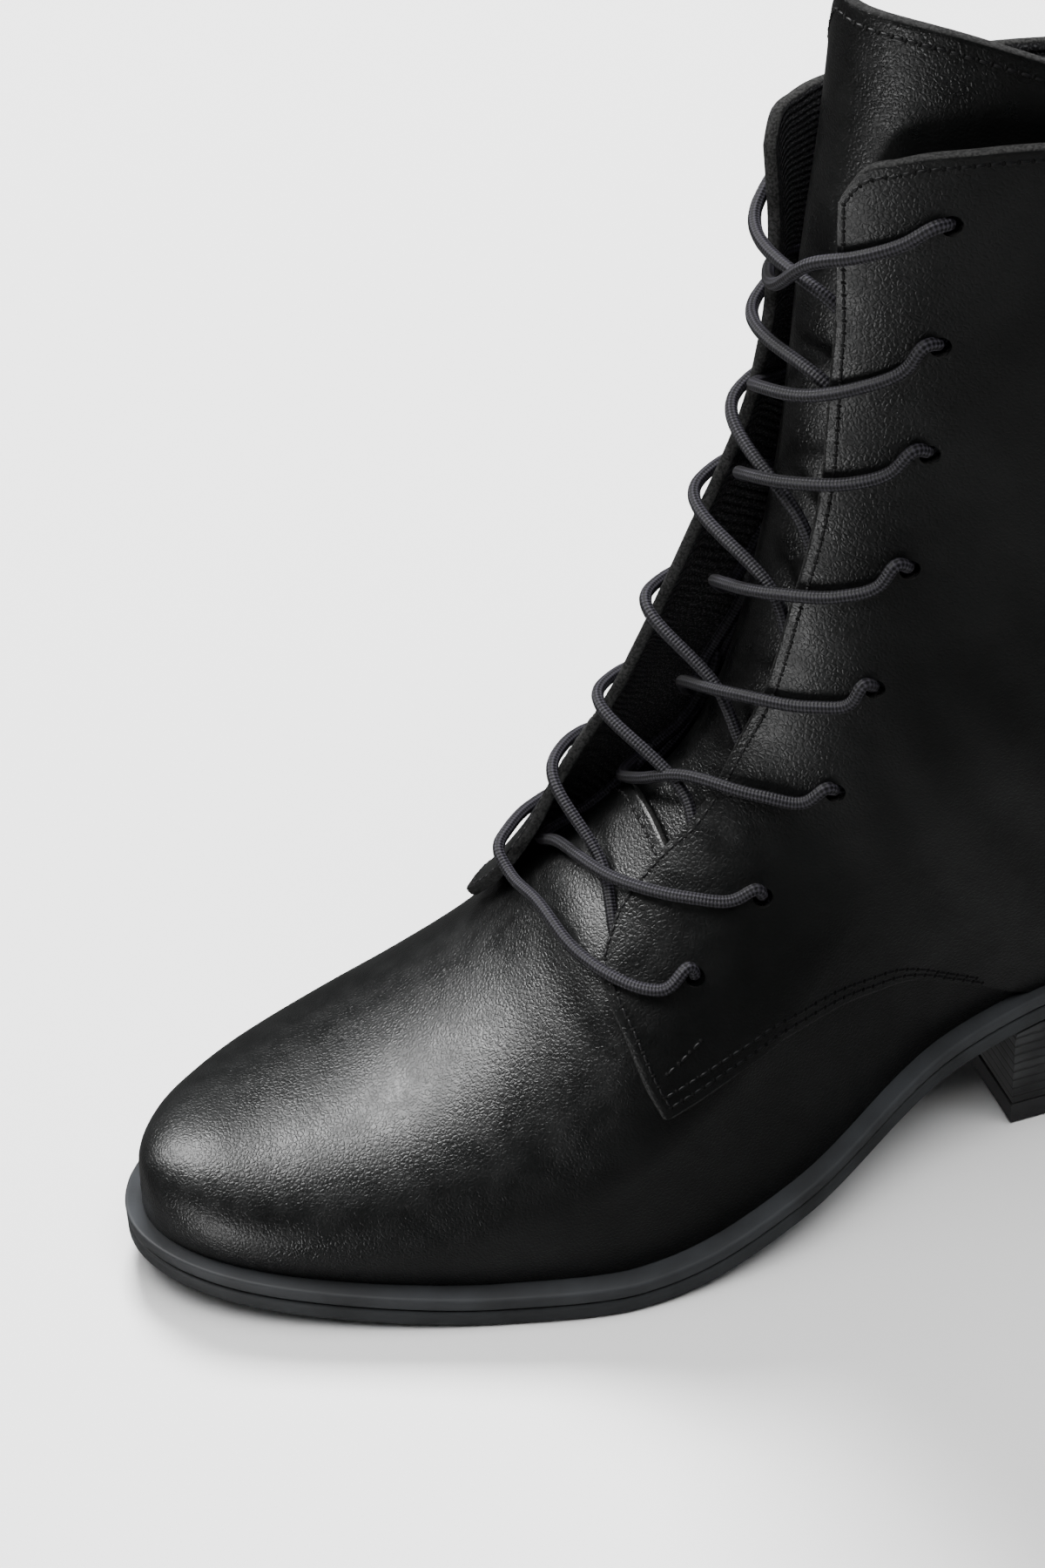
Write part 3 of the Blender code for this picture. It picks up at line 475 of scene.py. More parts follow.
@dataclass(frozen=True)
class Pattern:
    """Edges of the leather pieces and places of the lace holes, on the last."""

    last: Last = Last()
    step: float = 1.2 * MM
    near_lift: float = 2.2 * MM
    far_lift: float = 16 * MM
    lift_fade: float = 0.32
    lift_past: float = 0.06
    facing: Table = Table(
        ("station", "near_edge", "far_edge", "near_lift", "far_lift"),
        (
            (6.0, 0.800, 0.860, 0.20, 0.22),
            (6.9, 0.820, 0.905, 0.60, 0.40),
            (7.6, 0.850, 0.910, 1.00, 0.78),
            (8.7, 0.845, 0.905, 1.00, 1.00),
            (9.9, 0.830, 0.900, 1.00, 0.98),
            (10.9, 0.820, 0.896, 1.00, 0.86),
            (11.9, 0.826, 0.886, 1.00, 0.61),
            (13.2, 0.830, 0.876, 1.00, 0.37),
            (15.5, 0.836, 0.862, 1.00, 0.20),
            (18.2, 0.832, 0.856, 1.00, 0.13),
            (19.9, 0.840, 0.866, 1.00, 0.20),
            (21.0, 0.842, 0.870, 1.00, 0.24),
        ),
    )
    tail: Table = Table(
        ("station", "edge"),
        (
            (6.0, 0.560), (7.23, 0.535), (8.33, 0.475), (9.73, 0.340),
            (10.40, 0.235), (10.70, 0.120), (10.85, 0.000), (21.0, 0.000),
        ),
    )
    front: Table = Table(
        ("share", "near", "far"),
        (
            (0.00, 7.23, 7.10), (0.20, 7.12, 6.92), (0.50, 7.04, 6.62),
            (0.80, 7.00, 6.32), (0.93, 7.06, 6.24), (1.00, 7.38, 6.45),
        ),
    )
    topline: Table = Table(
        ("share", "near", "far"),
        (
            (0.00, 0.00, 0.00), (0.30, 0.00, 0.34), (0.60, 0.02, 0.50), (0.78, 0.12, 0.60),
            (0.90, 0.36, 0.76), (0.97, 0.72, 1.00), (1.00, 1.20, 1.40),
        ),
    )
    holes: Table = Table(
        ("near", "near_share", "far", "far_share"),
        (
            (19.90, 0.690, 19.75, 0.715), (18.20, 0.690, 18.05, 0.715), (16.12, 0.698, 15.90, 0.720),
            (13.62, 0.698, 13.35, 0.720), (11.82, 0.670, 11.60, 0.710), (10.68, 0.642, 10.45, 0.700),
            (9.10, 0.668, 8.80, 0.710), (7.88, 0.680, 7.55, 0.720),
        ),
    )
    throat: Table = Table(
        ("share", "station"),
        (
            (0.00, 11.35), (0.12, 11.20), (0.235, 10.95), (0.34, 10.40),
            (0.475, 9.10), (0.56, 8.45), (0.70, 8.15), (1.00, 8.00),
        ),
    )

    def facing_edge(self, station: Array, side: Side) -> Array:
        """Share of the way up at which a facing's free edge runs."""
        return self.facing.at("near_edge" if side is Side.NEAR else "far_edge", station)

    def tail_edge(self, station: Array) -> Array:
        """Share of the way up at which the quarter's lower edge runs."""
        return np.clip(self.tail.at("edge", station), 0, 1)

    def lift(self, station: Array, up: Array, side: Side) -> Array:
        """How far a quarter stands off the last near its free front edge.

        Args:
            station: sections of the last.
            up: shares of the way up from the feather line.
            side: the quarter's side.

        Returns:
            Distances from the last.
        """
        if side is Side.NEAR:
            high = self.facing.at("near_lift", station) * self.near_lift
        else:
            high = self.facing.at("far_lift", station) * self.far_lift
        edge = self.facing_edge(station, side)
        return np.maximum(high, 0) * ramp(up, edge - self.lift_fade, edge + self.lift_past)

    def eyelets(self, side: Side) -> list[tuple[float, float]]:
        """Section and share of each lace hole of one facing, from the top."""
        name = "near" if side is Side.NEAR else "far"
        return list(zip(self.holes.column(name), self.holes.column(name + "_share")))

    def outer(self, station: Array, up: Array, side: Side, extra: Array = 0.0) -> Array:
        """Point on a quarter's outer face, or at a distance over it."""
        station, up = np.broadcast_arrays(np.asarray(station, dtype=float), np.asarray(up, dtype=float))
        return self.last.offset(station, side.value * (1 - up), self.lift(station, up, side) + self.step + extra)


@dataclass(frozen=True)
class Crease:
    """A soft trough or ridge laid along a line on the leather.

    places: section and share g of each point of its line.
    width: how far it spreads. depth: how deep it is, negative for a ridge.
    """

    places: tuple[tuple[float, float], ...]
    width: float
    depth: float

    def press(self, last: Last, points: Array) -> Array:
        """How far each point is pressed in.

        Args:
            last: the form that the line lies on.
            points: the points to press.

        Returns:
            One distance for each point.
        """
        places = np.array(self.places)
        line = last.point(smooth(range(len(places)), places[:, 0], np.linspace(0, len(places) - 1, 25)),
                          smooth(range(len(places)), places[:, 1], np.linspace(0, len(places) - 1, 25)))
        flat = points.reshape(-1, 3)
        reach = np.linalg.norm(flat[:, None, :] - line[None, :, :], axis=-1)
        nearest = reach.argmin(axis=1)
        along = nearest / (len(line) - 1)
        ends = np.sin(np.pi * np.clip(along, 0.02, 0.98)) ** 0.7
        amount = self.depth * np.exp(-((reach.min(axis=1) / self.width) ** 2)) * ends
        return amount.reshape(points.shape[:-1])


class Shader:
    """A node material being put together."""

    def __init__(self, name: str) -> None:
        """Start a material with its main shader.

        Args:
            name: the material's name.
        """
        self.material = bpy.data.materials.new(name)
        self.material.use_nodes = True
        self.tree = self.material.node_tree
        self.main = self.tree.nodes["Principled BSDF"]

    def set(self, node: bpy.types.Node, inputs: dict[str | int, object]) -> bpy.types.Node:
        """Fill a node's inputs, with a value or by a link.

        Args:
            node: the node to fill.
            inputs: values or sockets by the input's name or number.

        Returns:
            The same node.
        """
        for key, value in inputs.items():
            if isinstance(value, bpy.types.NodeSocket):
                self.tree.links.new(value, node.inputs[key])
            else:
                node.inputs[key].default_value = value
        return node

    def node(self, kind: str, inputs: dict[str | int, object], **settings: object) -> bpy.types.Node:
        """Add a node.

        Args:
            kind: the node's type without its prefix.
            inputs: values or sockets by the input's name or number.
            settings: properties of the node.

        Returns:
            The node.
        """
        made = self.tree.nodes.new("ShaderNode" + kind)
        for key, value in settings.items():
            setattr(made, key, value)
        return self.set(made, inputs)

    def place(self) -> bpy.types.NodeSocket:
        """Place on the object."""
        return self.node("TexCoord", {}).outputs["Object"]

    def map(self) -> bpy.types.NodeSocket:
        """Place on the piece's own map, in metres."""
        return self.node("UVMap", {}, uv_map="UVMap").outputs["UV"]

    def noise(self, at: bpy.types.NodeSocket, size: float, detail: float = 2.0) -> bpy.types.NodeSocket:
        """A cloudy pattern whose clouds are of a size in metres."""
        made = self.node("TexNoise", {"Vector": at, "Scale": 1 / size, "Detail": detail})
        return made.outputs["Fac"]

    def spread(
        self, fac: bpy.types.NodeSocket, low: float, high: float, to_low: float, to_high: float,
    ) -> bpy.types.NodeSocket:
        """Take a pattern from one range to another.

        Args:
            fac: the pattern.
            low: its low end.
            high: its high end.
            to_low: what the low end becomes.
            to_high: what the high end becomes.

        Returns:
            The changed pattern.
        """
        made = self.node(
            "MapRange", {"Value": fac, "From Min": low, "From Max": high, "To Min": to_low, "To Max": to_high},
            interpolation_type="SMOOTHSTEP",
        )
        return made.outputs["Result"]

    def sum(self, kind: str, a: bpy.types.NodeSocket, b: object, c: object = 0.0) -> bpy.types.NodeSocket:
        """A sum on patterns, by the name of its kind."""
        return self.node("Math", {0: a, 1: b, 2: c}, operation=kind).outputs[0]

    def shade(self, fac: bpy.types.NodeSocket, a: tuple[float, ...], b: tuple[float, ...]) -> bpy.types.NodeSocket:
        """Mix two colours by a pattern."""
        made = self.node("Mix", {"Factor": fac, 6: (*a, 1), 7: (*b, 1)}, data_type="RGBA")
        return made.outputs[2]

    def bump(
        self, height: bpy.types.NodeSocket, depth: float, under: bpy.types.NodeSocket | None = None,
    ) -> bpy.types.NodeSocket:
        """Raise a surface by a pattern.

        Args:
            height: the pattern.
            depth: the rise of its whole range, in metres.
            under: an earlier bump to add to.

        Returns:
            The raised normal.
        """
        inputs: dict[str | int, object] = {"Height": height, "Distance": depth, "Strength": 1.0}
        if under is not None:
            inputs["Normal"] = under
        return self.node("Bump", inputs).outputs["Normal"]


@dataclass(frozen=True)
class Leather:
    """Black box leather with a fine pebbled grain and a soft sheen."""

    name: str
    colour: tuple[float, float, float] = (0.0030, 0.0032, 0.0032)
    worn: tuple[float, float, float] = (0.0050, 0.0053, 0.0053)
    roughness: float = 0.37
    grain: float = 0.85 * MM
    depth: float = 0.04 * MM
    wrinkle: float = 0.030 * MM
    wrinkle_size: float = 5.2 * MM
    pore: float = 0.32 * MM
    pore_depth: float = 0.035 * MM
    worn_size: float = 26 * MM
    uneven: float = 0.12
    coat: float = 0.05

    def material(self) -> bpy.types.Material:
        """Build the finish.

        Returns:
            The material.
        """
        s = Shader(self.name)
        at = s.place()
        drift = s.node("TexNoise", {"Vector": at, "Scale": 900.0, "Detail": 1.0}).outputs["Color"]
        moved = s.node("Mix", {"Factor": 0.0007, 4: at, 5: drift}, data_type="VECTOR").outputs[1]
        cells = s.node(
            "TexVoronoi", {"Vector": moved, "Scale": 1 / self.grain, "Randomness": 0.95}, feature="DISTANCE_TO_EDGE",
        ).outputs["Distance"]
        pebbles = s.spread(cells, 0.0, 0.30, 0.0, 1.0)
        pores = s.noise(at, self.pore, 3.0)
        folds = s.noise(at, self.wrinkle_size, 4.0)
        broad = s.noise(at, self.worn_size, 2.0)
        normal = s.bump(folds, self.wrinkle)
        normal = s.bump(pebbles, self.depth, normal)
        normal = s.bump(pores, self.pore_depth, normal)
        fade = s.spread(broad, 0.35, 0.70, 0.0, 1.0)
        s.set(s.main, {
            "Base Color": s.shade(fade, self.colour, self.worn),
            "Roughness": s.sum("MULTIPLY_ADD", s.spread(folds, 0.3, 0.7, -0.5, 0.5), self.uneven, self.roughness),
            "Normal": normal,
            "Coat Weight": self.coat,
            "Coat Roughness": 0.30,
            "Specular IOR Level": 0.45,
        })
        return s.material


@dataclass(frozen=True)
class CutEdge:
    """Bare cut edge of the leather, pale and fibrous."""

    name: str = "cut_edge"
    colour: tuple[float, float, float] = (0.008, 0.008, 0.008)
    fibre: tuple[float, float, float] = (0.028, 0.028, 0.0275)

    def material(self) -> bpy.types.Material:
        """Build the finish.

        Returns:
            The material.
        """
        s = Shader(self.name)
        fibres = s.noise(s.place(), 0.5 * MM, 4.0)
        s.set(s.main, {
            "Base Color": s.shade(s.spread(fibres, 0.35, 0.65, 0.0, 1.0), self.colour, self.fibre),
            "Roughness": 0.85,
            "Specular IOR Level": 0.15,
            "Normal": s.bump(fibres, 0.10 * MM),
        })
        return s.material


@dataclass(frozen=True)
class Lining:
    """Black woven lining, gathered in low ridges across the map's length."""

    name: str
    colour: tuple[float, float, float] = (0.013, 0.013, 0.014)
    fleck: tuple[float, float, float] = (0.065, 0.065, 0.068)
    ridge: float = 2.1 * MM
    depth: float = 0.35 * MM

    def material(self) -> bpy.types.Material:
        """Build the finish.

        Returns:
            The material.
        """
        s = Shader(self.name)
        along = s.map()
        weave = s.noise(along, 0.55 * MM, 2.0)
        bend = s.noise(along, 12 * MM, 1.0)
        height = s.node("SeparateXYZ", {"Vector": along}).outputs["Y"]
        turns = s.sum("MULTIPLY", height, 2 * np.pi / self.ridge)
        wave = s.sum("SINE", s.sum("MULTIPLY_ADD", bend, 2.5, turns), 0.0)
        normal = s.bump(s.spread(wave, -1, 1, 0, 1), self.depth)
        s.set(s.main, {
            "Base Color": s.shade(s.spread(weave, 0.45, 0.75, 0.0, 1.0), self.colour, self.fleck),
            "Roughness": 0.9,
            "Specular IOR Level": 0.1,
            "Normal": s.bump(weave, 0.12 * MM, normal),
        })
        return s.material


@dataclass(frozen=True)
class Rubber:
    """Matt dark rubber. layers is the height of one stacked layer, or 0."""

    name: str
    colour: tuple[float, float, float] = (0.016, 0.017, 0.018)
    pale: tuple[float, float, float] = (0.024, 0.026, 0.028)
    roughness: float = 0.62
    layers: float = 0.0

    def material(self) -> bpy.types.Material:
        """Build the finish.

        Returns:
            The material.
        """
        s = Shader(self.name)
        at = s.place()
        fine = s.noise(at, 0.5 * MM, 3.0)
        broad = s.noise(at, 14 * MM, 3.0)
        normal = s.bump(fine, 0.04 * MM)
        if self.layers:
            height = s.node("SeparateXYZ", {"Vector": at}).outputs["Z"]
            turns = s.sum("MULTIPLY", height, 2 * np.pi / self.layers)
            wobble = s.sum("MULTIPLY_ADD", s.noise(at, 30 * MM, 2.0), 0.9, turns)
            lines = s.spread(s.sum("SINE", wobble, 0.0), 0.55, 1.0, 1.0, 0.0)
            normal = s.bump(lines, 0.12 * MM, normal)
            broad = s.sum("MULTIPLY", broad, s.spread(lines, 0.0, 1.0, 0.4, 1.0))
        s.set(s.main, {
            "Base Color": s.shade(s.spread(broad, 0.3, 0.7, 0.0, 1.0), self.colour, self.pale),
            "Roughness": self.roughness,
            "Specular IOR Level": 0.25,
            "Normal": normal,
        })
        return s.material


@dataclass(frozen=True)
class Braid:
    """Round waxed cord, braided from slanting strands along its map, with a painted highlight on the strands' raised
    tops and painted shade in the grooves between them.
    """

    name: str = "waxed_braid_painted_light"
    # colour is the cord's black, kept darkest in the grooves as painted shade; high is a painted highlight on the
    # raised strand tops.
    colour: tuple[float, float, float] = (0.003, 0.003, 0.0035)
    high: tuple[float, float, float] = (0.026, 0.0245, 0.031)
    strands: int = 8
    pitch: float = 5.6 * MM
    depth: float = 0.16 * MM

    def material(self) -> bpy.types.Material:
        """Build the finish.

        Returns:
            The material.
        """
        s = Shader(self.name)
        parts = s.node("SeparateXYZ", {"Vector": s.map()})
        turn = s.sum("MULTIPLY", parts.outputs["X"], 2 * np.pi * self.strands / 2)
        along = s.sum("MULTIPLY", parts.outputs["Y"], 2 * np.pi * self.strands / 2 / self.pitch)
        left = s.sum("SINE", s.sum("ADD", turn, along), 0.0)
        right = s.sum("SINE", s.sum("SUBTRACT", turn, along), 0.0)
        plait = s.sum("MULTIPLY", left, right)
        rise = s.spread(plait, -0.9, 0.9, 0.0, 1.0)
        yarn = s.noise(s.place(), 0.25 * MM, 2.0)
        s.set(s.main, {
            # Painted light: the base colour pales on the raised strand tops as a painted highlight and stays darkest
            # in the grooves as painted shade.
            "Base Color": s.shade(rise, self.colour, self.high),
            "Roughness": 0.62,
            "Specular IOR Level": 0.30,
            "Normal": s.bump(yarn, 0.03 * MM, s.bump(rise, self.depth)),
        })
        return s.material


@dataclass(frozen=True)
class Plain:
    """One colour with one roughness."""

    name: str
    colour: tuple[float, float, float]
    roughness: float

    def material(self) -> bpy.types.Material:
        """Build the finish.

        Returns:
            The material.
        """
        s = Shader(self.name)
        s.set(s.main, {"Base Color": (*self.colour, 1), "Roughness": self.roughness, "Specular IOR Level": 0.35})
        return s.material


@dataclass
class MeshDraft:
    """Points, faces, their finish numbers and their map, gathered for one piece."""

    points: list[Array] = field(default_factory=list)
    faces: list[tuple[int, ...]] = field(default_factory=list)
    finishes: list[int] = field(default_factory=list)
    uvs: list[list[tuple[float, float]]] = field(default_factory=list)
    count: int = 0

    def add_points(self, points: Array) -> int:
        """Add points and tell the number of the first.

        Args:
            points: their places, one to a row.

        Returns:
            The first one's number.
        """
        start = self.count
        flat = np.asarray(points, dtype=float).reshape(-1, 3)
        self.points.append(flat)
        self.count += len(flat)
        return start

    def add_grid(self, points: Array, finish: int, flip: bool = False, closed: bool = False) -> int:
        """Add a grid of quads mapped by its own lengths.

        Args:
            points: rows of points.
            finish: number of the piece's finish.
            flip: turn the faces over.
            closed: join the last point of each row to the first.

        Returns:
            The number of the grid's first point.
        """
        rows, across = points.shape[:2]
        start = self.add_points(points)
        down = np.concatenate([[0], np.cumsum(np.linalg.norm(np.diff(points, axis=0), axis=-1).mean(axis=1))])
        side = np.concatenate([[0], np.cumsum(np.linalg.norm(np.diff(points, axis=1), axis=-1).mean(axis=0))])
        if closed:
            side = np.linspace(0, 1, across + 1)
        for i in range(rows - 1):
            for j in range(across if closed else across - 1):
                k = (j + 1) % across
                corners = [(i, j, j), (i, k, j + 1), (i + 1, k, j + 1), (i + 1, j, j)]
                if flip:
                    corners = corners[::-1]
                self.faces.append(tuple(start + r * across + c for r, c, _ in corners))
                self.uvs.append([(float(side[u]), float(down[r])) for r, _, u in corners])
                self.finishes.append(finish)
        return start

    def add_strip(self, rails: Sequence[Sequence[int]], finish: int) -> None:
        """Join neighbouring rails of the same count by quads.

        Args:
            rails: rows of point numbers, all of one count.
            finish: number of the faces' material.
        """
        for a, b in zip(rails[:-1], rails[1:]):
            for k in range(len(a) - 1):
                self.faces.append((a[k], a[k + 1], b[k + 1], b[k]))
                self.uvs.append([(0.0, 0.0)] * 4)
                self.finishes.append(finish)

    def piece(
        self, name: str, finishes: Sequence[bpy.types.Material], sharp: float = 50.0, merge: float = 0.01 * MM,
    ) -> bpy.types.Object:
        """Make the piece.

        Args:
            name: the piece's name.
            finishes: its materials by number.
            sharp: angle in degrees past which an edge stays crisp.
            merge: distance within which doubles are joined.

        Returns:
            The piece's object.
        """
        mesh = bpy.data.meshes.new(name)
        mesh.from_pydata([tuple(p) for p in np.concatenate(self.points)], [], self.faces)
        layer = mesh.uv_layers.new(name="UVMap")
        layer.data.foreach_set("uv", [v for face in self.uvs for uv in face for v in uv])
        mesh.polygons.foreach_set("material_index", self.finishes)
        bm = bmesh.new()
        bm.from_mesh(mesh)
        bmesh.ops.remove_doubles(bm, verts=bm.verts, dist=merge)
        bmesh.ops.dissolve_degenerate(bm, edges=bm.edges, dist=merge)
        bmesh.ops.recalc_face_normals(bm, faces=bm.faces)
        bm.to_mesh(mesh)
        bm.free()
        for material in finishes:
            mesh.materials.append(material)
        mesh.shade_smooth()
        mesh.set_sharp_from_angle(angle=np.radians(sharp))
        made = bpy.data.objects.new(name, mesh)
        bpy.context.scene.collection.objects.link(made)
        return made


def wall(
    draft: MeshDraft, outer: Array, inner: Array, skip: Sequence[str] = (), open_from: int | None = None,
    bulge: float = 0.22,
) -> None:
    """Add a wall between two grids, with rounded rims.

    Args:
        draft: where the faces go; finish 0 is outside, 1 inside, 2 the rim.
        outer: rows of points of the outer face.
        inner: the same for the inner face.
        skip: edges left open: "start", "end", "first" or "last".
        open_from: row from which the first column has no rim.
        bulge: how far the rim swells, as a share of the wall.
    """
    rows, across = outer.shape[:2]
    a = draft.add_grid(outer, 0)
    b = draft.add_grid(inner, 1, flip=True)
    number = np.arange(rows * across).reshape(rows, across)
    until = rows if open_from is None else open_from + 1
    edges = {
        "start": (number[0], outer[0] - outer[1]),
        "end": (number[-1], outer[-1] - outer[-2]),
        "first": (number[:until, 0], (outer[:, 0] - outer[:, 1])[:until]),
        "last": (number[:, -1], outer[:, -1] - outer[:, -2]),
    }
    flat_outer = outer.reshape(-1, 3)
    flat_inner = inner.reshape(-1, 3)
    for name, (line, away) in edges.items():
        if name in skip:
            continue
        away = away / np.maximum(np.linalg.norm(away, axis=-1, keepdims=True), 1e-9)
        rails = [list(a + line)]
        for share, swell in ((0.12, 0.6), (0.35, 1.0), (0.65, 1.0), (0.88, 0.6)):
            mid = flat_outer[line] * (1 - share) + flat_inner[line] * share
            thick = np.linalg.norm(flat_outer[line] - flat_inner[line], axis=-1, keepdims=True)
            points = mid + away * thick * bulge * swell
            points[0], points[-1] = mid[0], mid[-1]
            start = draft.add_points(points)
            rails.append(list(range(start, start + len(line))))
        rails.append(list(b + line))
        draft.add_strip(rails, 2)


@dataclass
class Upper:
    """Vamp and quarters of black leather, with punched lace holes."""

    pattern: Pattern
    wall_vamp: float = 1.8 * MM
    wall_quarter: float = 2.4 * MM
    hole_radius: float = 2.0 * MM
    punch_length: float = 12 * MM
    first_row: float = 7.23
    tail_top: float = 10.85
    last_row: float = 21.0
    leather: Leather = Leather("black_leather")
    quarter_leather: Leather = Leather("quarter_leather", grain=0.95 * MM)
    edge: CutEdge = CutEdge()
    lining: Lining = Lining("ribbed_lining")
    vamp_creases: tuple[Crease, ...] = (
        Crease(((7.9, 0.36), (7.3, 0.16), (7.1, -0.08), (7.4, -0.30)), 4.0 * MM, 0.35 * MM),
        Crease(((6.9, 0.46), (6.6, 0.30), (6.5, 0.12), (6.7, -0.06)), 5.0 * MM, 0.5 * MM),
        Crease(((6.2, 0.62), (6.0, 0.50), (5.9, 0.36), (6.1, 0.22)), 6.0 * MM, 0.45 * MM),
    )
    quarter_creases: tuple[Crease, ...] = (
        Crease(((12.6, 0.30), (12.1, 0.45), (11.8, 0.62), (11.9, 0.78)), 6.0 * MM, 1.3 * MM),
        Crease(((11.7, 0.32), (11.2, 0.44), (10.9, 0.58), (10.8, 0.72)), 5.0 * MM, 1.0 * MM),
        Crease(((13.6, 0.28), (13.3, 0.42), (13.2, 0.58), (13.4, 0.74)), 7.0 * MM, 1.0 * MM),
        Crease(((15.3, 0.30), (14.9, 0.45), (14.8, 0.60)), 8.0 * MM, 0.9 * MM),
        Crease(((10.4, 0.40), (10.1, 0.50), (9.8, 0.60)), 4.0 * MM, 0.7 * MM),
    )

    def pressed(self, station: Array, g: Array, under: float = 0.0) -> Array:
        """Places on the creased vamp, or at a depth under its face.

        Args:
            station: sections of the last.
            g: shares round it.
            under: depth below the leather's face.

        Returns:
            The points.
        """
        last = self.pattern.last
        flat = last.offset(station, g, 0.0)
        press = sum(crease.press(last, flat) for crease in self.vamp_creases)
        return last.offset(station, g, -press - under)

    def vamp(self) -> bpy.types.Object:
        """Build the vamp from the toe back under the quarters.

        Returns:
            The vamp's mesh.
        """
        g = np.linspace(1, -1, 161)
        end = self.pattern.throat.at("station", 1 - np.abs(g))
        share = np.concatenate([np.linspace(0, 0.96, 104), np.linspace(0.966, 1, 7)])[:, None]
        station = share * end[None, :]
        g = np.broadcast_to(g, station.shape)
        outer = self.pressed(station, g)
        inner = self.pressed(station, g, self.wall_vamp)
        draft = MeshDraft()
        wall(draft, outer, inner, skip=("start",))
        finishes = [self.leather.material(), self.lining.material(), self.edge.material()]
        return draft.piece("vamp", finishes)

    def quarter_grid(self, side: Side) -> tuple[Array, Array]:
        """Sections and shares of a quarter's grid, dense along its edges.

        Args:
            side: the quarter's side.

        Returns:
            The sections and the shares up, row by row.
        """
        across = np.concatenate([np.linspace(0, 0.03, 5), np.linspace(0.045, 0.955, 60), np.linspace(0.965, 1, 9)])
        rows = np.concatenate([
            np.linspace(self.first_row, 7.5, 6), np.linspace(7.6, 20.5, 125), np.linspace(20.6, self.last_row, 10),
        ])
        name = "near" if side is Side.NEAR else "far"
        front = self.pattern.front.at(name, across)
        front[0] = rows[0]
        top = rows[-1] - self.pattern.topline.at(name, across)
        share = ((rows - rows[0]) / (rows[-1] - rows[0]))[:, None]
        station = front[None, :] + (top - front)[None, :] * share
        low = self.pattern.tail_edge(station)
        high = self.pattern.facing_edge(station, side)
        up = low + (high - low) * across[None, :]
        up[:, 0] = np.where(rows >= self.tail_top, 0, up[:, 0])
        return station, up

    def quarters(self) -> bpy.types.Object:
        """Build both quarters, joined down the back, and punch their holes.

        Returns:
            Their mesh.
        """
        pattern = self.pattern
        last = pattern.last
        draft = MeshDraft()
        for side in Side:
            station, up = self.quarter_grid(side)
            g = side.value * (1 - up)
            lift = pattern.lift(station, up, side) + pattern.step
            press = 0.0
            if side is Side.NEAR:
                outer = last.offset(station, g, lift)
                press = sum(crease.press(last, outer) for crease in self.quarter_creases)
            outer = last.offset(station, g, lift - press)
            inner = last.offset(station, g, lift - press - self.wall_quarter)
            back = int(np.searchsorted(station[:, 0], last.corner_row))
            wall(draft, outer, inner, open_from=back)
        finishes = [self.quarter_leather.material(), self.lining.material(), self.edge.material()]
        made = draft.piece("quarters", finishes)
        self.punch(made)
        return made

    def punch(self, made: bpy.types.Object) -> None:
        """Cut the lace holes through both facings.

        Args:
            made: the quarters' mesh.
        """
        pattern = self.pattern
        bm = bmesh.new()
        for side in Side:
            for station, up in pattern.eyelets(side):
                g = side.value * (1 - up)
                centre = Vector(pattern.outer(station, up, side, -pattern.step))
                turn = Vector(pattern.last.normal(station, g)).to_track_quat("Z", "Y").to_matrix().to_4x4()
                bmesh.ops.create_cone(
                    bm, cap_ends=True, segments=28, radius1=self.hole_radius, radius2=self.hole_radius,
                    depth=self.punch_length, matrix=Matrix.Translation(centre) @ turn,
                )
        mesh = bpy.data.meshes.new("punches")
        bm.to_mesh(mesh)
        bm.free()
        for material in made.data.materials:
            mesh.materials.append(material)
        mesh.polygons.foreach_set("material_index", [2] * len(mesh.polygons))
        tool = bpy.data.objects.new("punches", mesh)
        bpy.context.scene.collection.objects.link(tool)
        cut = made.modifiers.new("punch", "BOOLEAN")
        cut.object = tool
        cut.operation = "DIFFERENCE"
        cut.solver = "EXACT"
        bake(made)
        bpy.data.objects.remove(tool)


def bake(made: bpy.types.Object) -> None:
    """Turn a piece's modifiers into its plain mesh.

    Args:
        made: a piece whose modifiers are still live.
    """
    graph = bpy.context.evaluated_depsgraph_get()
    graph.update()
    mesh = bpy.data.meshes.new_from_object(made.evaluated_get(graph))
    made.modifiers.clear()
    old = made.data
    made.data = mesh
    bpy.data.meshes.remove(old)
    mesh.name = made.name


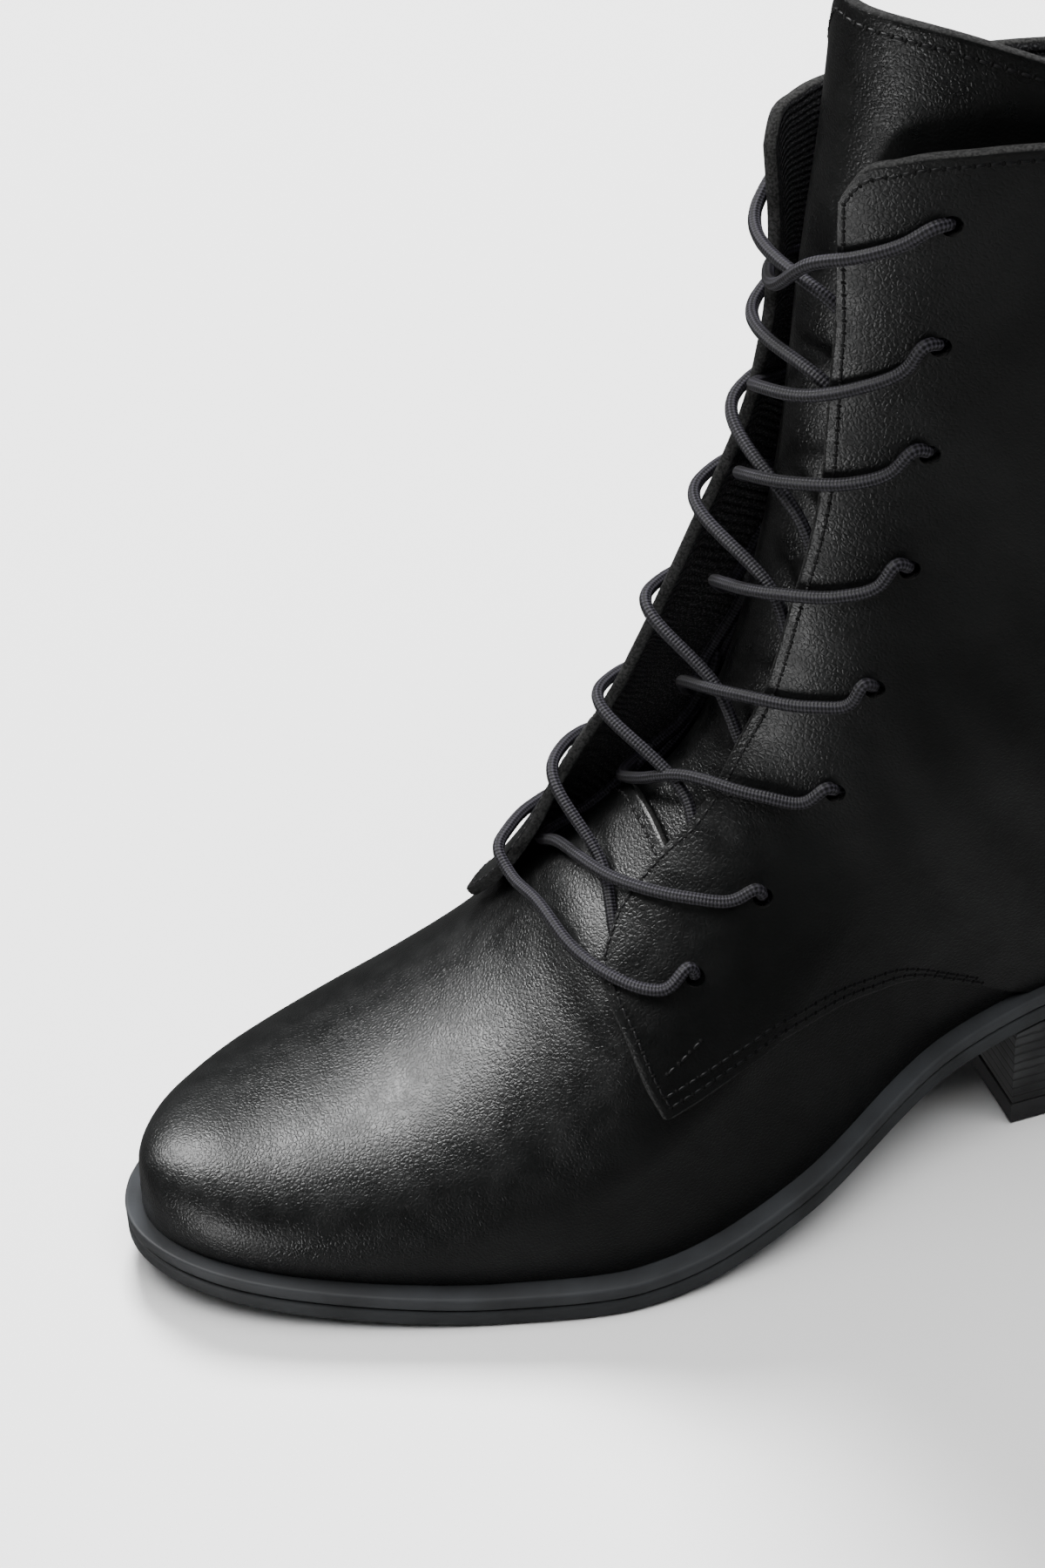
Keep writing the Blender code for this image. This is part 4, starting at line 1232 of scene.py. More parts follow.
@dataclass
class Tongue:
    """Curved leather tongue under the facings, standing past the collar."""

    last: Last
    depth: float = 8 * MM
    thick: float = 2.2 * MM
    table: Table = Table(
        ("station", "near", "far", "middle", "side"),
        (
            (7.0, 0.20, 0.20, 0.30, 0.30), (8.0, 0.24, 0.24, 0.30, 0.30), (9.5, 0.28, 0.28, 0.34, 0.32),
            (11.0, 0.31, 0.31, 0.36, 0.32), (14.0, 0.34, 0.33, 0.36, 0.36), (18.0, 0.43, 0.33, 0.55, 0.40),
            (20.0, 0.52, 0.32, 0.85, 0.46), (22.0, 0.58, 0.31, 1.20, 0.60),
        ),
    )
    top_edge: Table = Table(
        ("share", "station"),
        ((-1.00, 20.75), (-0.50, 21.44), (-0.19, 21.90), (0.21, 21.93), (0.57, 21.80), (0.78, 21.54), (1.00, 21.05)),
    )
    leather: Leather = Leather("tongue_leather", grain=0.8 * MM, roughness=0.33, wrinkle=0.02 * MM)
    lining: Lining = Lining("tongue_lining", ridge=6 * MM, depth=0.15 * MM)
    edge: CutEdge = CutEdge("tongue_edge", (0.010, 0.010, 0.010), (0.024, 0.024, 0.024))

    def surface(self, station: Array, across: Array, extra: Array = 0.0) -> Array:
        """Point on the tongue's face at a share across it, from -1 far to 1 near.

        Args:
            station: sections of the last.
            across: shares across the tongue.
            extra: height above its face.

        Returns:
            The points.
        """
        spread = np.where(across >= 0, self.table.at("near", station), self.table.at("far", station))
        middle = self.table.at("middle", station)
        side = self.table.at("side", station)
        depth = (side + (middle - side) * (1 - across**2)) * self.depth
        return self.last.offset(station, spread * across, -depth + extra)

    def top(self, across: Array) -> Array:
        """Section of the top edge at a share across."""
        return self.top_edge.at("station", across)

    def build(self) -> bpy.types.Object:
        """Build the tongue.

        Returns:
            The tongue's mesh.
        """
        low = self.table.rows[0][0]
        across = np.linspace(1, -1, 61)
        share = np.concatenate([np.linspace(0, 0.97, 110), np.linspace(0.975, 1, 8)])[:, None]
        station = low + (self.top(across) - low)[None, :] * share
        across = np.broadcast_to(across[None, :], station.shape)
        draft = MeshDraft()
        wall(draft, self.surface(station, across), self.surface(station, across, -self.thick))
        return draft.piece("tongue_leather", [self.leather.material(), self.lining.material(), self.edge.material()])


def raised(rule: HeightRule, distance: float) -> HeightRule:
    """Heights at a distance above another rule's.

    Args:
        rule: the other rule.
        distance: how far above it.

    Returns:
        The new rule.
    """

    def height(x: Array) -> Array:
        """Raised height at places along the boot."""
        return rule(x) + distance

    return height


def between(low: float, rule: HeightRule, share: float) -> HeightRule:
    """Heights at a share of the way from a level up to another rule's.

    Args:
        low: the level.
        rule: the other rule.
        share: share of the way.

    Returns:
        The new rule.
    """

    def height(x: Array) -> Array:
        """Shared height at places along the boot."""
        return low + (rule(x) - low) * share

    return height


def level(at: float) -> HeightRule:
    """The same height everywhere.

    Args:
        at: the height.

    Returns:
        The rule.
    """

    def height(x: Array) -> Array:
        """Level height at places along the boot."""
        return np.full(np.shape(x), at)

    return height


@dataclass
class Soles:
    """Outsole, welt, insole, heel and top lift."""

    sole: SoleShape
    heel_width: float = 47 * MM
    heel_set_back: float = 2.5 * MM
    lift: float = 6 * MM
    round: float = 0.7 * MM
    insole_in: float = 2.7 * MM
    insole_thick: float = 3 * MM
    heel_round: float = 0.5 * MM
    heel_turns: int = 41
    breast_points: int = 12
    rubber: Rubber = Rubber("sole_rubber")
    welt_rubber: Rubber = Rubber("welt_rubber", (0.020, 0.021, 0.0225), (0.029, 0.031, 0.034), 0.58)
    stack: Rubber = Rubber("stacked_heel", (0.014, 0.0143, 0.015), (0.036, 0.037, 0.038), 0.60, 2.9 * MM)
    lift_rubber: Rubber = Rubber("top_lift_rubber", (0.020, 0.020, 0.021), (0.030, 0.030, 0.032), 0.70)
    insole: Lining = Lining("insole_cloth", depth=0.03 * MM)

    def slab(
        self, name: str, half: HalfRule, back: float, front: float,
        profile: Sequence[tuple[float, HeightRule]], finish: bpy.types.Material,
    ) -> bpy.types.Object:
        """Build a sheet with rounded edges whose heights vary along it.

        Args:
            name: the piece's name.
            half: half width of the outline at a place, for one side.
            back: back end of the outline.
            front: front end of the outline.
            profile: how far inside the outline each ring lies, and its height.
            finish: the piece's material.

        Returns:
            The piece.
        """
        turn = np.linspace(0, np.pi, 121)
        x = (front + back) / 2 + (front - back) / 2 * np.cos(turn)
        near, far = half(x, Side.NEAR), half(x, Side.FAR)
        near[[0, -1]] = 0
        far[[0, -1]] = 0
        line = np.concatenate([np.stack([x, near], axis=-1), np.stack([x, -far], axis=-1)[-2:0:-1]])
        ahead = np.roll(line, -1, axis=0) - np.roll(line, 1, axis=0)
        away = np.stack([-ahead[:, 1], ahead[:, 0]], axis=-1)
        away /= np.linalg.norm(away, axis=-1, keepdims=True)
        away *= np.sign((away * (line - line.mean(axis=0))).sum(axis=-1, keepdims=True).sum())
        rings = []
        for inset, height in profile:
            flat = line - away * inset
            rings.append(np.concatenate([flat, height(np.clip(flat[:, :1], back, front))], axis=-1))
        draft = MeshDraft()
        draft.add_grid(np.stack(rings), 0, closed=True)
        for ring, flip in ((rings[0], True), (rings[-1], False)):
            count = len(x)
            other = ring[[0] + list(range(len(ring) - 1, count - 1, -1)) + [count - 1]]
            share = np.linspace(0, 1, 17)[:, None, None]
            cap = ring[None, :count] * (1 - share) + other[None] * share
            height = (profile[0] if flip else profile[-1])[1]
            cap[..., 2] = height(np.clip(cap[..., 0], back, front))
            draft.add_grid(cap, 0, flip=flip)
        return draft.piece(name, [finish], sharp=45)

    def band(self, low: HeightRule, high: HeightRule) -> list[tuple[float, HeightRule]]:
        """Rings of a sheet with rounded edges between two heights.

        Args:
            low: the lower face's height along the boot.
            high: the upper face's.

        Returns:
            Each ring's inset, and its height along the boot.
        """
        rings: list[tuple[float, HeightRule]] = []
        for rule, way, shares in ((low, 1, (0.0, 0.3, 0.7, 1.0)), (high, -1, (1.0, 0.7, 0.3, 0.0))):
            for share in shares:
                turn = share * np.pi / 2
                rings.append((self.round * (1 - np.sin(turn)), raised(rule, way * self.round * (1 - np.cos(turn)))))
        return rings

    def outline_half(self, x: Array, side: Side) -> Array:
        """Half width of the sole's own outline."""
        return self.sole.inset_half(x, side, 0.0, 0.0)

    def insole_half(self, x: Array, side: Side) -> Array:
        """Half width of the insole's outline."""
        sole = self.sole
        return sole.inset_half(x, side, sole.welt_ledge + self.insole_in, sole.heel_ledge + self.insole_in)

    def build(self) -> list[bpy.types.Object]:
        """Build the outsole, the welt and the insole.

        Returns:
            Their meshes.
        """
        sole = self.sole
        back, front = -sole.heel_back, sole.toe_front
        outsole = self.slab(
            "outsole_rubber", self.outline_half, back, front,
            self.band(sole.ground, raised(sole.ground, sole.outsole)), self.rubber.material(),
        )
        welt = self.slab(
            "welt_band", self.outline_half, back, front,
            self.band(sole.welt_under, sole.top), self.welt_rubber.material(),
        )
        under = raised(sole.top, sole.gap)
        insole = self.slab(
            "insole_sock", self.insole_half, sole.heel_ledge + self.insole_in - sole.heel_back,
            front - self.insole_in - sole.toe_ledge,
            self.band(under, raised(under, self.insole_thick)), self.insole.material(),
        )
        return [outsole, welt, insole, *self.heel()]

    def heel_ring(self, rise: float, inset: float, height: HeightRule) -> Array:
        """Closed outline of the heel at a share of its rise, the seat being 1.

        Args:
            rise: share of the heel's rise.
            inset: how far it lies inside the heel's outline.
            height: heights at places along the boot.

        Returns:
            The outline's points.
        """
        sole = self.sole
        turn = np.linspace(np.arccos(2 * sole.heel_run / sole.length - 1), np.pi, self.heel_turns)
        seat = (sole.toe_front - sole.heel_back) / 2 + sole.length / 2 * np.cos(turn)
        near, far = (sole.inset_half(seat, side, 0.0, 0.0) for side in Side)
        narrow = self.heel_width / (near[0] + far[0])
        base = seat * (1 - 2 * self.heel_set_back / sole.heel_run)
        x = base + (seat - base) * rise
        scale = narrow + (1 - narrow) * rise
        near[-1] = 0
        far[-1] = 0
        breast = np.linspace(-1, 1, self.breast_points + 2)[1:-1]
        y_breast = np.where(breast < 0, far[0], near[0]) * breast * scale
        points = np.concatenate([
            np.stack([x, near * scale, seat], axis=-1),
            np.stack([x, -far * scale, seat], axis=-1)[-2::-1],
            np.stack([np.full(breast.shape, x[0]), y_breast, np.full(breast.shape, seat[0])], axis=-1),
        ])
        middle = np.array([x.mean(), 0.0])
        away = points[:, :2] - middle
        points[:, :2] -= away / np.linalg.norm(away, axis=-1, keepdims=True) * inset
        points[:, 2] = height(points[:, 2])
        return points

    def heel(self) -> list[bpy.types.Object]:
        """Build the stacked heel block and the lift under it.

        Returns:
            Their meshes.
        """
        sole = self.sole
        low = self.lift + sole.gap
        made = []
        for name, finish in (("stacked_heel", self.stack), ("top_lift", self.lift_rubber)):
            rings = []
            for share in (0.0, 0.012, 0.04, 0.5, 0.96, 0.988, 1.0):
                edge = self.heel_round * (1 - min(1.0, min(share, 1 - share) / 0.04)) ** 2
                if name == "stacked_heel":
                    rise = (low + (sole.pitch - low) * share) / sole.pitch
                    height = between(low, raised(sole.ground, -sole.gap), share)
                else:
                    rise = self.lift * share / sole.pitch
                    height = level(self.lift * share)
                rings.append(self.heel_ring(rise, edge, height))
            draft = MeshDraft()
            draft.add_grid(np.stack(rings), 0, closed=True)
            count = self.heel_turns
            for ring, flip in ((rings[0], True), (rings[-1], False)):
                near = ring[:count]
                far = ring[count - 1:2 * count - 1][::-1]
                share = np.linspace(0, 1, self.breast_points + 2)[:, None, None]
                cap = near[None] * (1 - share) + far[None] * share
                cap[:, 0] = np.concatenate([ring[:1], ring[2 * count - 1:][::-1], ring[2 * count - 2:2 * count - 1]])
                draft.add_grid(cap, 0, flip=flip)
            made.append(draft.piece(name, [finish.material()], sharp=45, merge=0.02 * MM))
        return made


def spread_out(points: Array, step: float) -> Array:
    """Evenly spaced points on a smooth curve through a few places.

    Args:
        points: the places, one to a row.
        step: distance between the new points.

    Returns:
        The new points.
    """
    steps = np.maximum(np.linalg.norm(np.diff(points, axis=0), axis=1), 1e-9)
    length = np.concatenate([[0], np.cumsum(steps)])
    dense = np.linspace(0, length[-1], 12 * len(points))
    fine = np.stack([smooth(length, points[:, k], dense) for k in range(3)], axis=-1)
    steps = np.linalg.norm(np.diff(fine, axis=0), axis=1)
    length = np.concatenate([[0], np.cumsum(steps)])
    at = np.linspace(0, length[-1], max(int(length[-1] / step), 2))
    return np.stack([np.interp(at, length, fine[:, k]) for k in range(3)], axis=-1)


@dataclass
class Laces:
    """One round waxed lace through both facings.

    Its ends lie hidden under the facings above the top crossing.
    """

    pattern: Pattern
    radius: float = 1.25 * MM
    wall: float = 2.4 * MM
    clearance: float = 0.12 * MM
    tuck: float = 0.19
    hidden: float = 0.24
    cross_height: float = 5.0 * MM
    end_height: float = 3.6 * MM
    tuck_height: float = 1.6 * MM
    sides: int = 14
    step: float = 0.6 * MM
    braid: Braid = Braid()
    near_strands: Table = Table(
        ("over", "over_up", "edge", "edge_up", "cross", "share", "end", "end_share"),
        (
            (19.56, 0.742, 19.14, 0.797, 18.63, 0.13, 17.71, 0.06),
            (17.65, 0.729, 16.65, 0.793, 15.74, 0.14, 14.79, 0.02),
            (15.38, 0.742, 14.45, 0.793, 13.62, 0.14, 12.74, -0.04),
            (13.04, 0.725, 12.51, 0.763, 11.89, 0.15, 11.26, -0.11),
            (11.54, 0.690, 11.25, 0.733, 10.55, 0.13, 9.82, -0.12),
            (10.36, 0.673, 9.87, 0.746, 8.99, 0.10, 8.25, 0.01),
            (8.73, 0.708, 8.18, 0.763, 7.57, 0.14, 7.16, -0.04),
        ),
    )
    far_strands: Table = Table(
        ("over", "proud", "cross", "share", "height", "under"),
        (
            (18.49, 0.32, 17.97, 0.15, 2.0, 17.70),
            (16.43, 0.11, 16.03, 0.15, 2.1, 15.80),
            (14.00, 0.18, 12.87, 0.14, 1.9, 12.39),
            (12.30, 0.48, 11.74, 0.14, 2.2, 11.24),
            (10.94, 0.37, 10.25, 0.07, 2.4, 10.05),
            (9.17, 0.23, 8.72, 0.12, 2.1, 8.49),
            (7.68, 0.20, 7.40, 0.07, 2.1, 7.35),
        ),
    )
    bar_over: float = 6.75
    bar_middle: Table = Table(
        ("station", "share", "height"), ((6.67, -0.06, 6.0), (6.75, 0.05, 4.6), (6.87, 0.16, 3.4)),
    )
    bar_near: Table = Table(("station", "up"), ((7.11, 0.77), (7.32, 0.73), (7.56, 0.70)))

    @property
    def deep(self) -> float:
        """Distance of the lace's middle from a facing's outer face, where it runs under it."""
        return -self.wall - self.radius - self.clearance

    def over(self, station: float, up: float, side: Side, lift: float = 0.0) -> Array:
        """Place of the lace's middle over a facing's face."""
        return self.pattern.outer(station, up, side, self.radius + self.clearance + lift)

    def through(self, hole: int, side: Side) -> list[Array]:
        """Places from under a facing up through one of its holes.

        Args:
            hole: the hole's number from the top.
            side: the facing's side.

        Returns:
            The places.
        """
        station, up = self.pattern.eyelets(side)[hole]
        return [
            self.pattern.outer(station, up + 0.022, side, self.deep),
            self.pattern.outer(station, up, side, -self.wall / 2),
            self.pattern.outer(station, up + 0.018, side, self.radius * 0.9),
        ]

    def leave(self, hole: int, over: float, side: Side, proud: float) -> list[Array]:
        """Places over a facing, from its hole to past its free edge.

        Args:
            hole: the hole's number from the top.
            over: section at which the lace crosses the free edge.
            side: the facing's side.
            proud: how far it stands off the edge, in millimetres.

        Returns:
            The places.
        """
        station, up = self.pattern.eyelets(side)[hole]
        edge = float(self.pattern.facing_edge(over, side))
        places = []
        for along, height in ((0.45, 0.1), (0.8, 0.3 + 0.5 * proud), (1.0, 0.3 + proud)):
            at = station + (over - station) * along
            places.append(self.over(at, up + (edge - up) * along, side, height * MM))
        return places

    def strand(self, hole: int, side: Side) -> list[Array]:
        """Places of one run over the tongue, from its hole to under the other facing.

        Args:
            hole: its hole's number from the top.
            side: the side that it starts from.

        Returns:
            The places.
        """
        last = self.pattern.last
        if side is Side.NEAR:
            row = self.near_strands.row(hole)
            return [
                self.over(row["over"], row["over_up"], side),
                self.over(row["edge"], row["edge_up"], side, 0.3 * MM),
                last.offset(row["cross"], row["share"], self.cross_height),
                last.offset(row["end"], row["end_share"], self.end_height),
                last.offset(row["end"] - 0.05, -self.tuck, self.tuck_height),
            ]
        row = self.far_strands.row(hole)
        places = self.leave(hole, row["over"], side, row["proud"])
        places.append(last.offset(row["cross"], row["share"], row["height"] * MM))
        return places + [self.pattern.outer(row["under"] - 0.05, 1 - self.hidden, Side.NEAR, self.deep)]

    def below(self, start: float, hole: int, side: Side) -> list[Array]:
        """Places under a facing, on the way up to a hole.

        Args:
            start: section at which the run begins.
            hole: the hole's number from the top.
            side: the facing's side.

        Returns:
            The places.
        """
        station, up = self.pattern.eyelets(side)[hole]
        rise = up - (1 - self.hidden)
        return [
            self.pattern.outer(start + (station - start) * along, 1 - self.hidden + rise * share, side, self.deep)
            for along, share in ((0.15, 0.6), (0.35, 1.0), (0.6, 1.0), (0.82, 1.0))
        ]

    def half(self, side: Side) -> list[Array]:
        """Places of one half of the lace, from the bar to its hidden end.

        Args:
            side: the side on which it leaves the bar.

        Returns:
            The places.
        """
        places = self.through(7, side)[::-1]
        for k in range(6, -1, -1):
            places += self.through(k, side) + self.strand(k, side)
            start = self.near_strands.row(k)["end"] if side is Side.NEAR else self.far_strands.row(k)["under"]
            side = Side(-side.value)
            places += self.below(start, max(k - 1, 0), side)
        station, up = self.pattern.eyelets(side)[0]
        places.append(self.pattern.outer(station + 0.1, up + 0.03, side, self.deep))
        places.append(self.pattern.outer(station + 0.4, up - 0.06, side, self.deep))
        return places

    def bar_places(self) -> list[Array]:
        """Places of the bar over the lowest holes, from the far hole to the near.

        Returns:
            The places.
        """
        last = self.pattern.last
        places = self.leave(7, self.bar_over, Side.FAR, 1.0)
        places += [last.offset(station, share, height * MM) for station, share, height in self.bar_middle.rows]
        return places + [self.over(station, up, Side.NEAR) for station, up in self.bar_near.rows]

    def path(self) -> Array:
        """Middle line of the whole lace.

        Returns:
            Evenly spaced points.
        """
        places = self.half(Side.FAR)[::-1] + self.bar_places() + self.half(Side.NEAR)
        line = spread_out(np.array(places), self.step)
        for _ in range(6):
            line[1:-1] += 0.25 * (line[:-2] - 2 * line[1:-1] + line[2:])
        return line

    def build(self) -> bpy.types.Object:
        """Build the lace.

        Returns:
            The lace's mesh.
        """
        line = self.path()
        steps = np.linalg.norm(np.diff(line, axis=0), axis=1)
        length = np.concatenate([[0], np.cumsum(steps)])
        LOG.info("lace: %.0f mm long", length[-1] / MM)
        ahead = np.gradient(line, axis=0)
        ahead /= np.linalg.norm(ahead, axis=1, keepdims=True)
        side = np.cross(ahead[0], [0.0, 0.0, 1.0])
        rings = []
        turns = np.linspace(0, 2 * np.pi, self.sides + 1)[:-1]
        for k, centre in enumerate(line):
            side = side - ahead[k] * side.dot(ahead[k])
            side = side / np.linalg.norm(side)
            up = np.cross(ahead[k], side)
            shrink = self.radius * (0.3 if k in (0, len(line) - 1) else 1.0)
            rings.append(centre + shrink * (np.outer(np.cos(turns), side) + np.outer(np.sin(turns), up)))
        draft = MeshDraft()
        draft.add_grid(np.stack(rings), 0, closed=True)
        count = draft.count
        for ring, flip in ((range(self.sides), True), (range(count - self.sides, count), False)):
            loop = tuple(ring)[::-1] if flip else tuple(ring)
            draft.faces.append(loop)
            draft.uvs.append([(0.0, 0.0)] * self.sides)
            draft.finishes.append(0)
        return draft.piece("lace", [self.braid.material()], sharp=80)


@dataclass
class Row:
    """A line of stitches: its places, and which way is out at each."""

    points: Array
    outward: Array


def grid_normals(points: Array) -> Array:
    """Outward directions of a grid of points."""
    out = np.cross(np.gradient(points, axis=1), np.gradient(points, axis=0))
    return out / np.maximum(np.linalg.norm(out, axis=-1, keepdims=True), 1e-12)


def row_inside(points: Array, away: Array, edge: str, distance: float, start: float = 0.0, end: float = 0.0) -> Row:
    """Line on a grid, at a distance inside one of its edges.

    Args:
        points: the grid.
        away: its outward directions.
        edge: "start", "end", "first" or "last".
        distance: how far inside the edge.
        start: length left out where the line begins.
        end: length left out where it ends.

    Returns:
        The line.
    """
    if edge in ("first", "last"):
        points, away = points.transpose(1, 0, 2), away.transpose(1, 0, 2)
    if edge in ("end", "last"):
        points, away = points[::-1], away[::-1]
    places, outs = [], []
    for j in range(points.shape[1]):
        steps = np.linalg.norm(np.diff(points[:, j], axis=0), axis=1)
        length = np.concatenate([[0], np.cumsum(steps)])
        places.append([np.interp(distance, length, points[:, j, c]) for c in range(3)])
        outs.append([np.interp(distance, length, away[:, j, c]) for c in range(3)])
    places, outs = np.array(places), np.array(outs)
    length = np.concatenate([[0], np.cumsum(np.linalg.norm(np.diff(places, axis=0), axis=1))])
    at = np.linspace(start, length[-1] - end, max(int((length[-1] - start - end) / (0.6 * MM)), 3))
    return Row(
        np.stack([np.interp(at, length, places[:, c]) for c in range(3)], axis=-1),
        np.stack([np.interp(at, length, outs[:, c]) for c in range(3)], axis=-1),
    )


@dataclass
class Stitching:
    """Rows of sunk stitches with a near-black bead between each two, painted shade standing in for the needle hole.
    """

    pitch: float = 2.5 * MM
    length: float = 1.95 * MM
    width: float = 0.72 * MM
    height: float = 0.52 * MM
    hole: float = 0.80 * MM
    raise_by: float = 0.02 * MM
    thread: Plain = Plain("waxed_thread", (0.004, 0.004, 0.0045), 0.50)
    # Near-black, rough beads laid between the stitches: painted shade standing in for the dark of each needle hole.
    hole_shade_paint: Plain = Plain("painted_needle_hole_shade", (0.002, 0.002, 0.002), 0.9)

    def tree(self) -> bpy.types.NodeTree:
        """Nodes that lay one small bead after another along each line.

        Returns:
            The node tree.
        """
        group = bpy.data.node_groups.new("stitch_row", "GeometryNodeTree")
        face = group.interface
        face.new_socket("Geometry", in_out="OUTPUT", socket_type="NodeSocketGeometry")
        face.new_socket("Lines", in_out="INPUT", socket_type="NodeSocketGeometry")
        for name in ("Pitch", "Length", "Width", "Height", "Trim"):
            face.new_socket(name, in_out="INPUT", socket_type="NodeSocketFloat")
        face.new_socket("Finish", in_out="INPUT", socket_type="NodeSocketMaterial")
        nodes, link = group.nodes, group.links.new
        start = nodes.new("NodeGroupInput").outputs
        curve = nodes.new("GeometryNodeMeshToCurve")
        trim = nodes.new("GeometryNodeTrimCurve")
        trim.mode = "LENGTH"
        measure = nodes.new("GeometryNodeSplineLength")
        until = nodes.new("ShaderNodeMath")
        until.operation = "SUBTRACT"
        even = nodes.new("GeometryNodeResampleCurve")
        even.mode = "LENGTH"
        bead = nodes.new("GeometryNodeMeshUVSphere")
        bead.inputs["Segments"].default_value = 8
        bead.inputs["Rings"].default_value = 6
        bead.inputs["Radius"].default_value = 0.5
        size = nodes.new("ShaderNodeCombineXYZ")
        tangent = nodes.new("GeometryNodeInputTangent")
        lie = nodes.new("GeometryNodeInputNamedAttribute")
        lie.data_type = "FLOAT_VECTOR"
        lie.inputs["Name"].default_value = "outward"
        ahead = nodes.new("FunctionNodeAlignRotationToVector")
        ahead.axis = "X"
        upright = nodes.new("FunctionNodeAlignRotationToVector")
        upright.axis = "Z"
        upright.pivot_axis = "X"
        place = nodes.new("GeometryNodeInstanceOnPoints")
        real = nodes.new("GeometryNodeRealizeInstances")
        finish = nodes.new("GeometryNodeSetMaterial")
        end = nodes.new("NodeGroupOutput")
        link(start["Lines"], curve.inputs["Mesh"])
        link(curve.outputs[0], trim.inputs["Curve"])
        link(measure.outputs["Length"], until.inputs[0])
        link(start["Trim"], until.inputs[1])
        lengths = [socket for socket in trim.inputs if socket.name in ("Start", "End") and socket.enabled]
        link(start["Trim"], lengths[0])
        link(until.outputs[0], lengths[1])
        link(trim.outputs[0], even.inputs["Curve"])
        link(start["Pitch"], even.inputs["Length"])
        for k, name in enumerate(("Length", "Width", "Height")):
            link(start[name], size.inputs[k])
        link(tangent.outputs[0], ahead.inputs["Vector"])
        link(ahead.outputs[0], upright.inputs["Rotation"])
        link(lie.outputs["Attribute"], upright.inputs["Vector"])
        link(even.outputs[0], place.inputs["Points"])
        link(bead.outputs["Mesh"], place.inputs["Instance"])
        link(upright.outputs[0], place.inputs["Rotation"])
        link(size.outputs[0], place.inputs["Scale"])
        link(place.outputs[0], real.inputs[0])
        link(real.outputs[0], finish.inputs["Geometry"])
        link(start["Finish"], finish.inputs["Material"])
        link(finish.outputs[0], end.inputs[0])
        return group

    def lay(
        self, name: str, rows: Sequence[Row], tree: bpy.types.NodeTree, sizes: dict[str, float],
        finish: bpy.types.Material,
    ) -> bpy.types.Object:
        """Lay beads along rows and make them one plain mesh.

        Args:
            name: the piece's name.
            rows: the lines to follow.
            tree: the nodes that lay them.
            sizes: the nodes' sizes by name.
            finish: the beads' material.

        Returns:
            The piece.
        """
        points = np.concatenate([row.points + row.outward * self.raise_by for row in rows])
        outward = np.concatenate([row.outward for row in rows])
        edges = []
        start = 0
        for row in rows:
            edges += [(start + k, start + k + 1) for k in range(len(row.points) - 1)]
            start += len(row.points)
        mesh = bpy.data.meshes.new(name)
        mesh.from_pydata([tuple(p) for p in points], edges, [])
        lie = mesh.attributes.new("outward", "FLOAT_VECTOR", "POINT")
        lie.data.foreach_set("vector", outward.ravel())
        made = bpy.data.objects.new(name, mesh)
        bpy.context.scene.collection.objects.link(made)
        sew = made.modifiers.new("sew", "NODES")
        sew.node_group = tree
        sockets = {item.name: item.identifier for item in tree.interface.items_tree if item.in_out == "INPUT"}
        for key, value in sizes.items():
            sew[sockets[key]] = value
        sew[sockets["Finish"]] = finish
        bake(made)
        made.data.shade_smooth()
        return made

    def build(self, name: str, rows: Sequence[Row]) -> list[bpy.types.Object]:
        """Lay the threads, and the near-black beads of painted needle-hole shade, along some rows.

        Args:
            name: what they sew.
            rows: the rows.

        Returns:
            The threads' mesh and the mesh of painted hole shade.
        """
        tree = self.tree()
        thread = {
            "Pitch": self.pitch, "Length": self.length, "Width": self.width, "Height": self.height,
            "Trim": self.pitch / 2,
        }
        # Sizes of the near-black beads that paint the shade of the needle holes.
        holes = {
            "Pitch": self.pitch, "Length": self.hole, "Width": self.hole * 1.35, "Height": self.hole * 0.5,
            "Trim": 0.0,
        }
        return [
            self.lay(name + "_stitches", rows, tree, thread, self.thread.material()),
            self.lay(name + "_painted_hole_shades", rows, tree, holes, self.hole_shade_paint.material()),
        ]


@dataclass(frozen=True)
class Lamp:
    """A soft rectangular light: its place, its aim, its size in metres and its power in watts.

    mirrored: it shows in shiny surfaces. lights_matt: it lights matt surfaces.
    """

    name: str
    at: Place
    to: Place
    size: tuple[float, float]
    power: float
    mirrored: bool = False
    lights_matt: bool = True

    def build(self) -> None:
        """Add the light."""
        lamp = bpy.data.lights.new(self.name, "AREA")
        lamp.shape = "RECTANGLE"
        lamp.size, lamp.size_y = self.size
        lamp.energy = self.power
        made = bpy.data.objects.new(self.name, lamp)
        made.location = self.at
        made.visible_glossy = self.mirrored
        made.visible_diffuse = self.lights_matt
        made.rotation_mode = "QUATERNION"
        made.rotation_quaternion = (Vector(self.to) - Vector(self.at)).to_track_quat("-Z", "Y")
        bpy.context.scene.collection.objects.link(made)


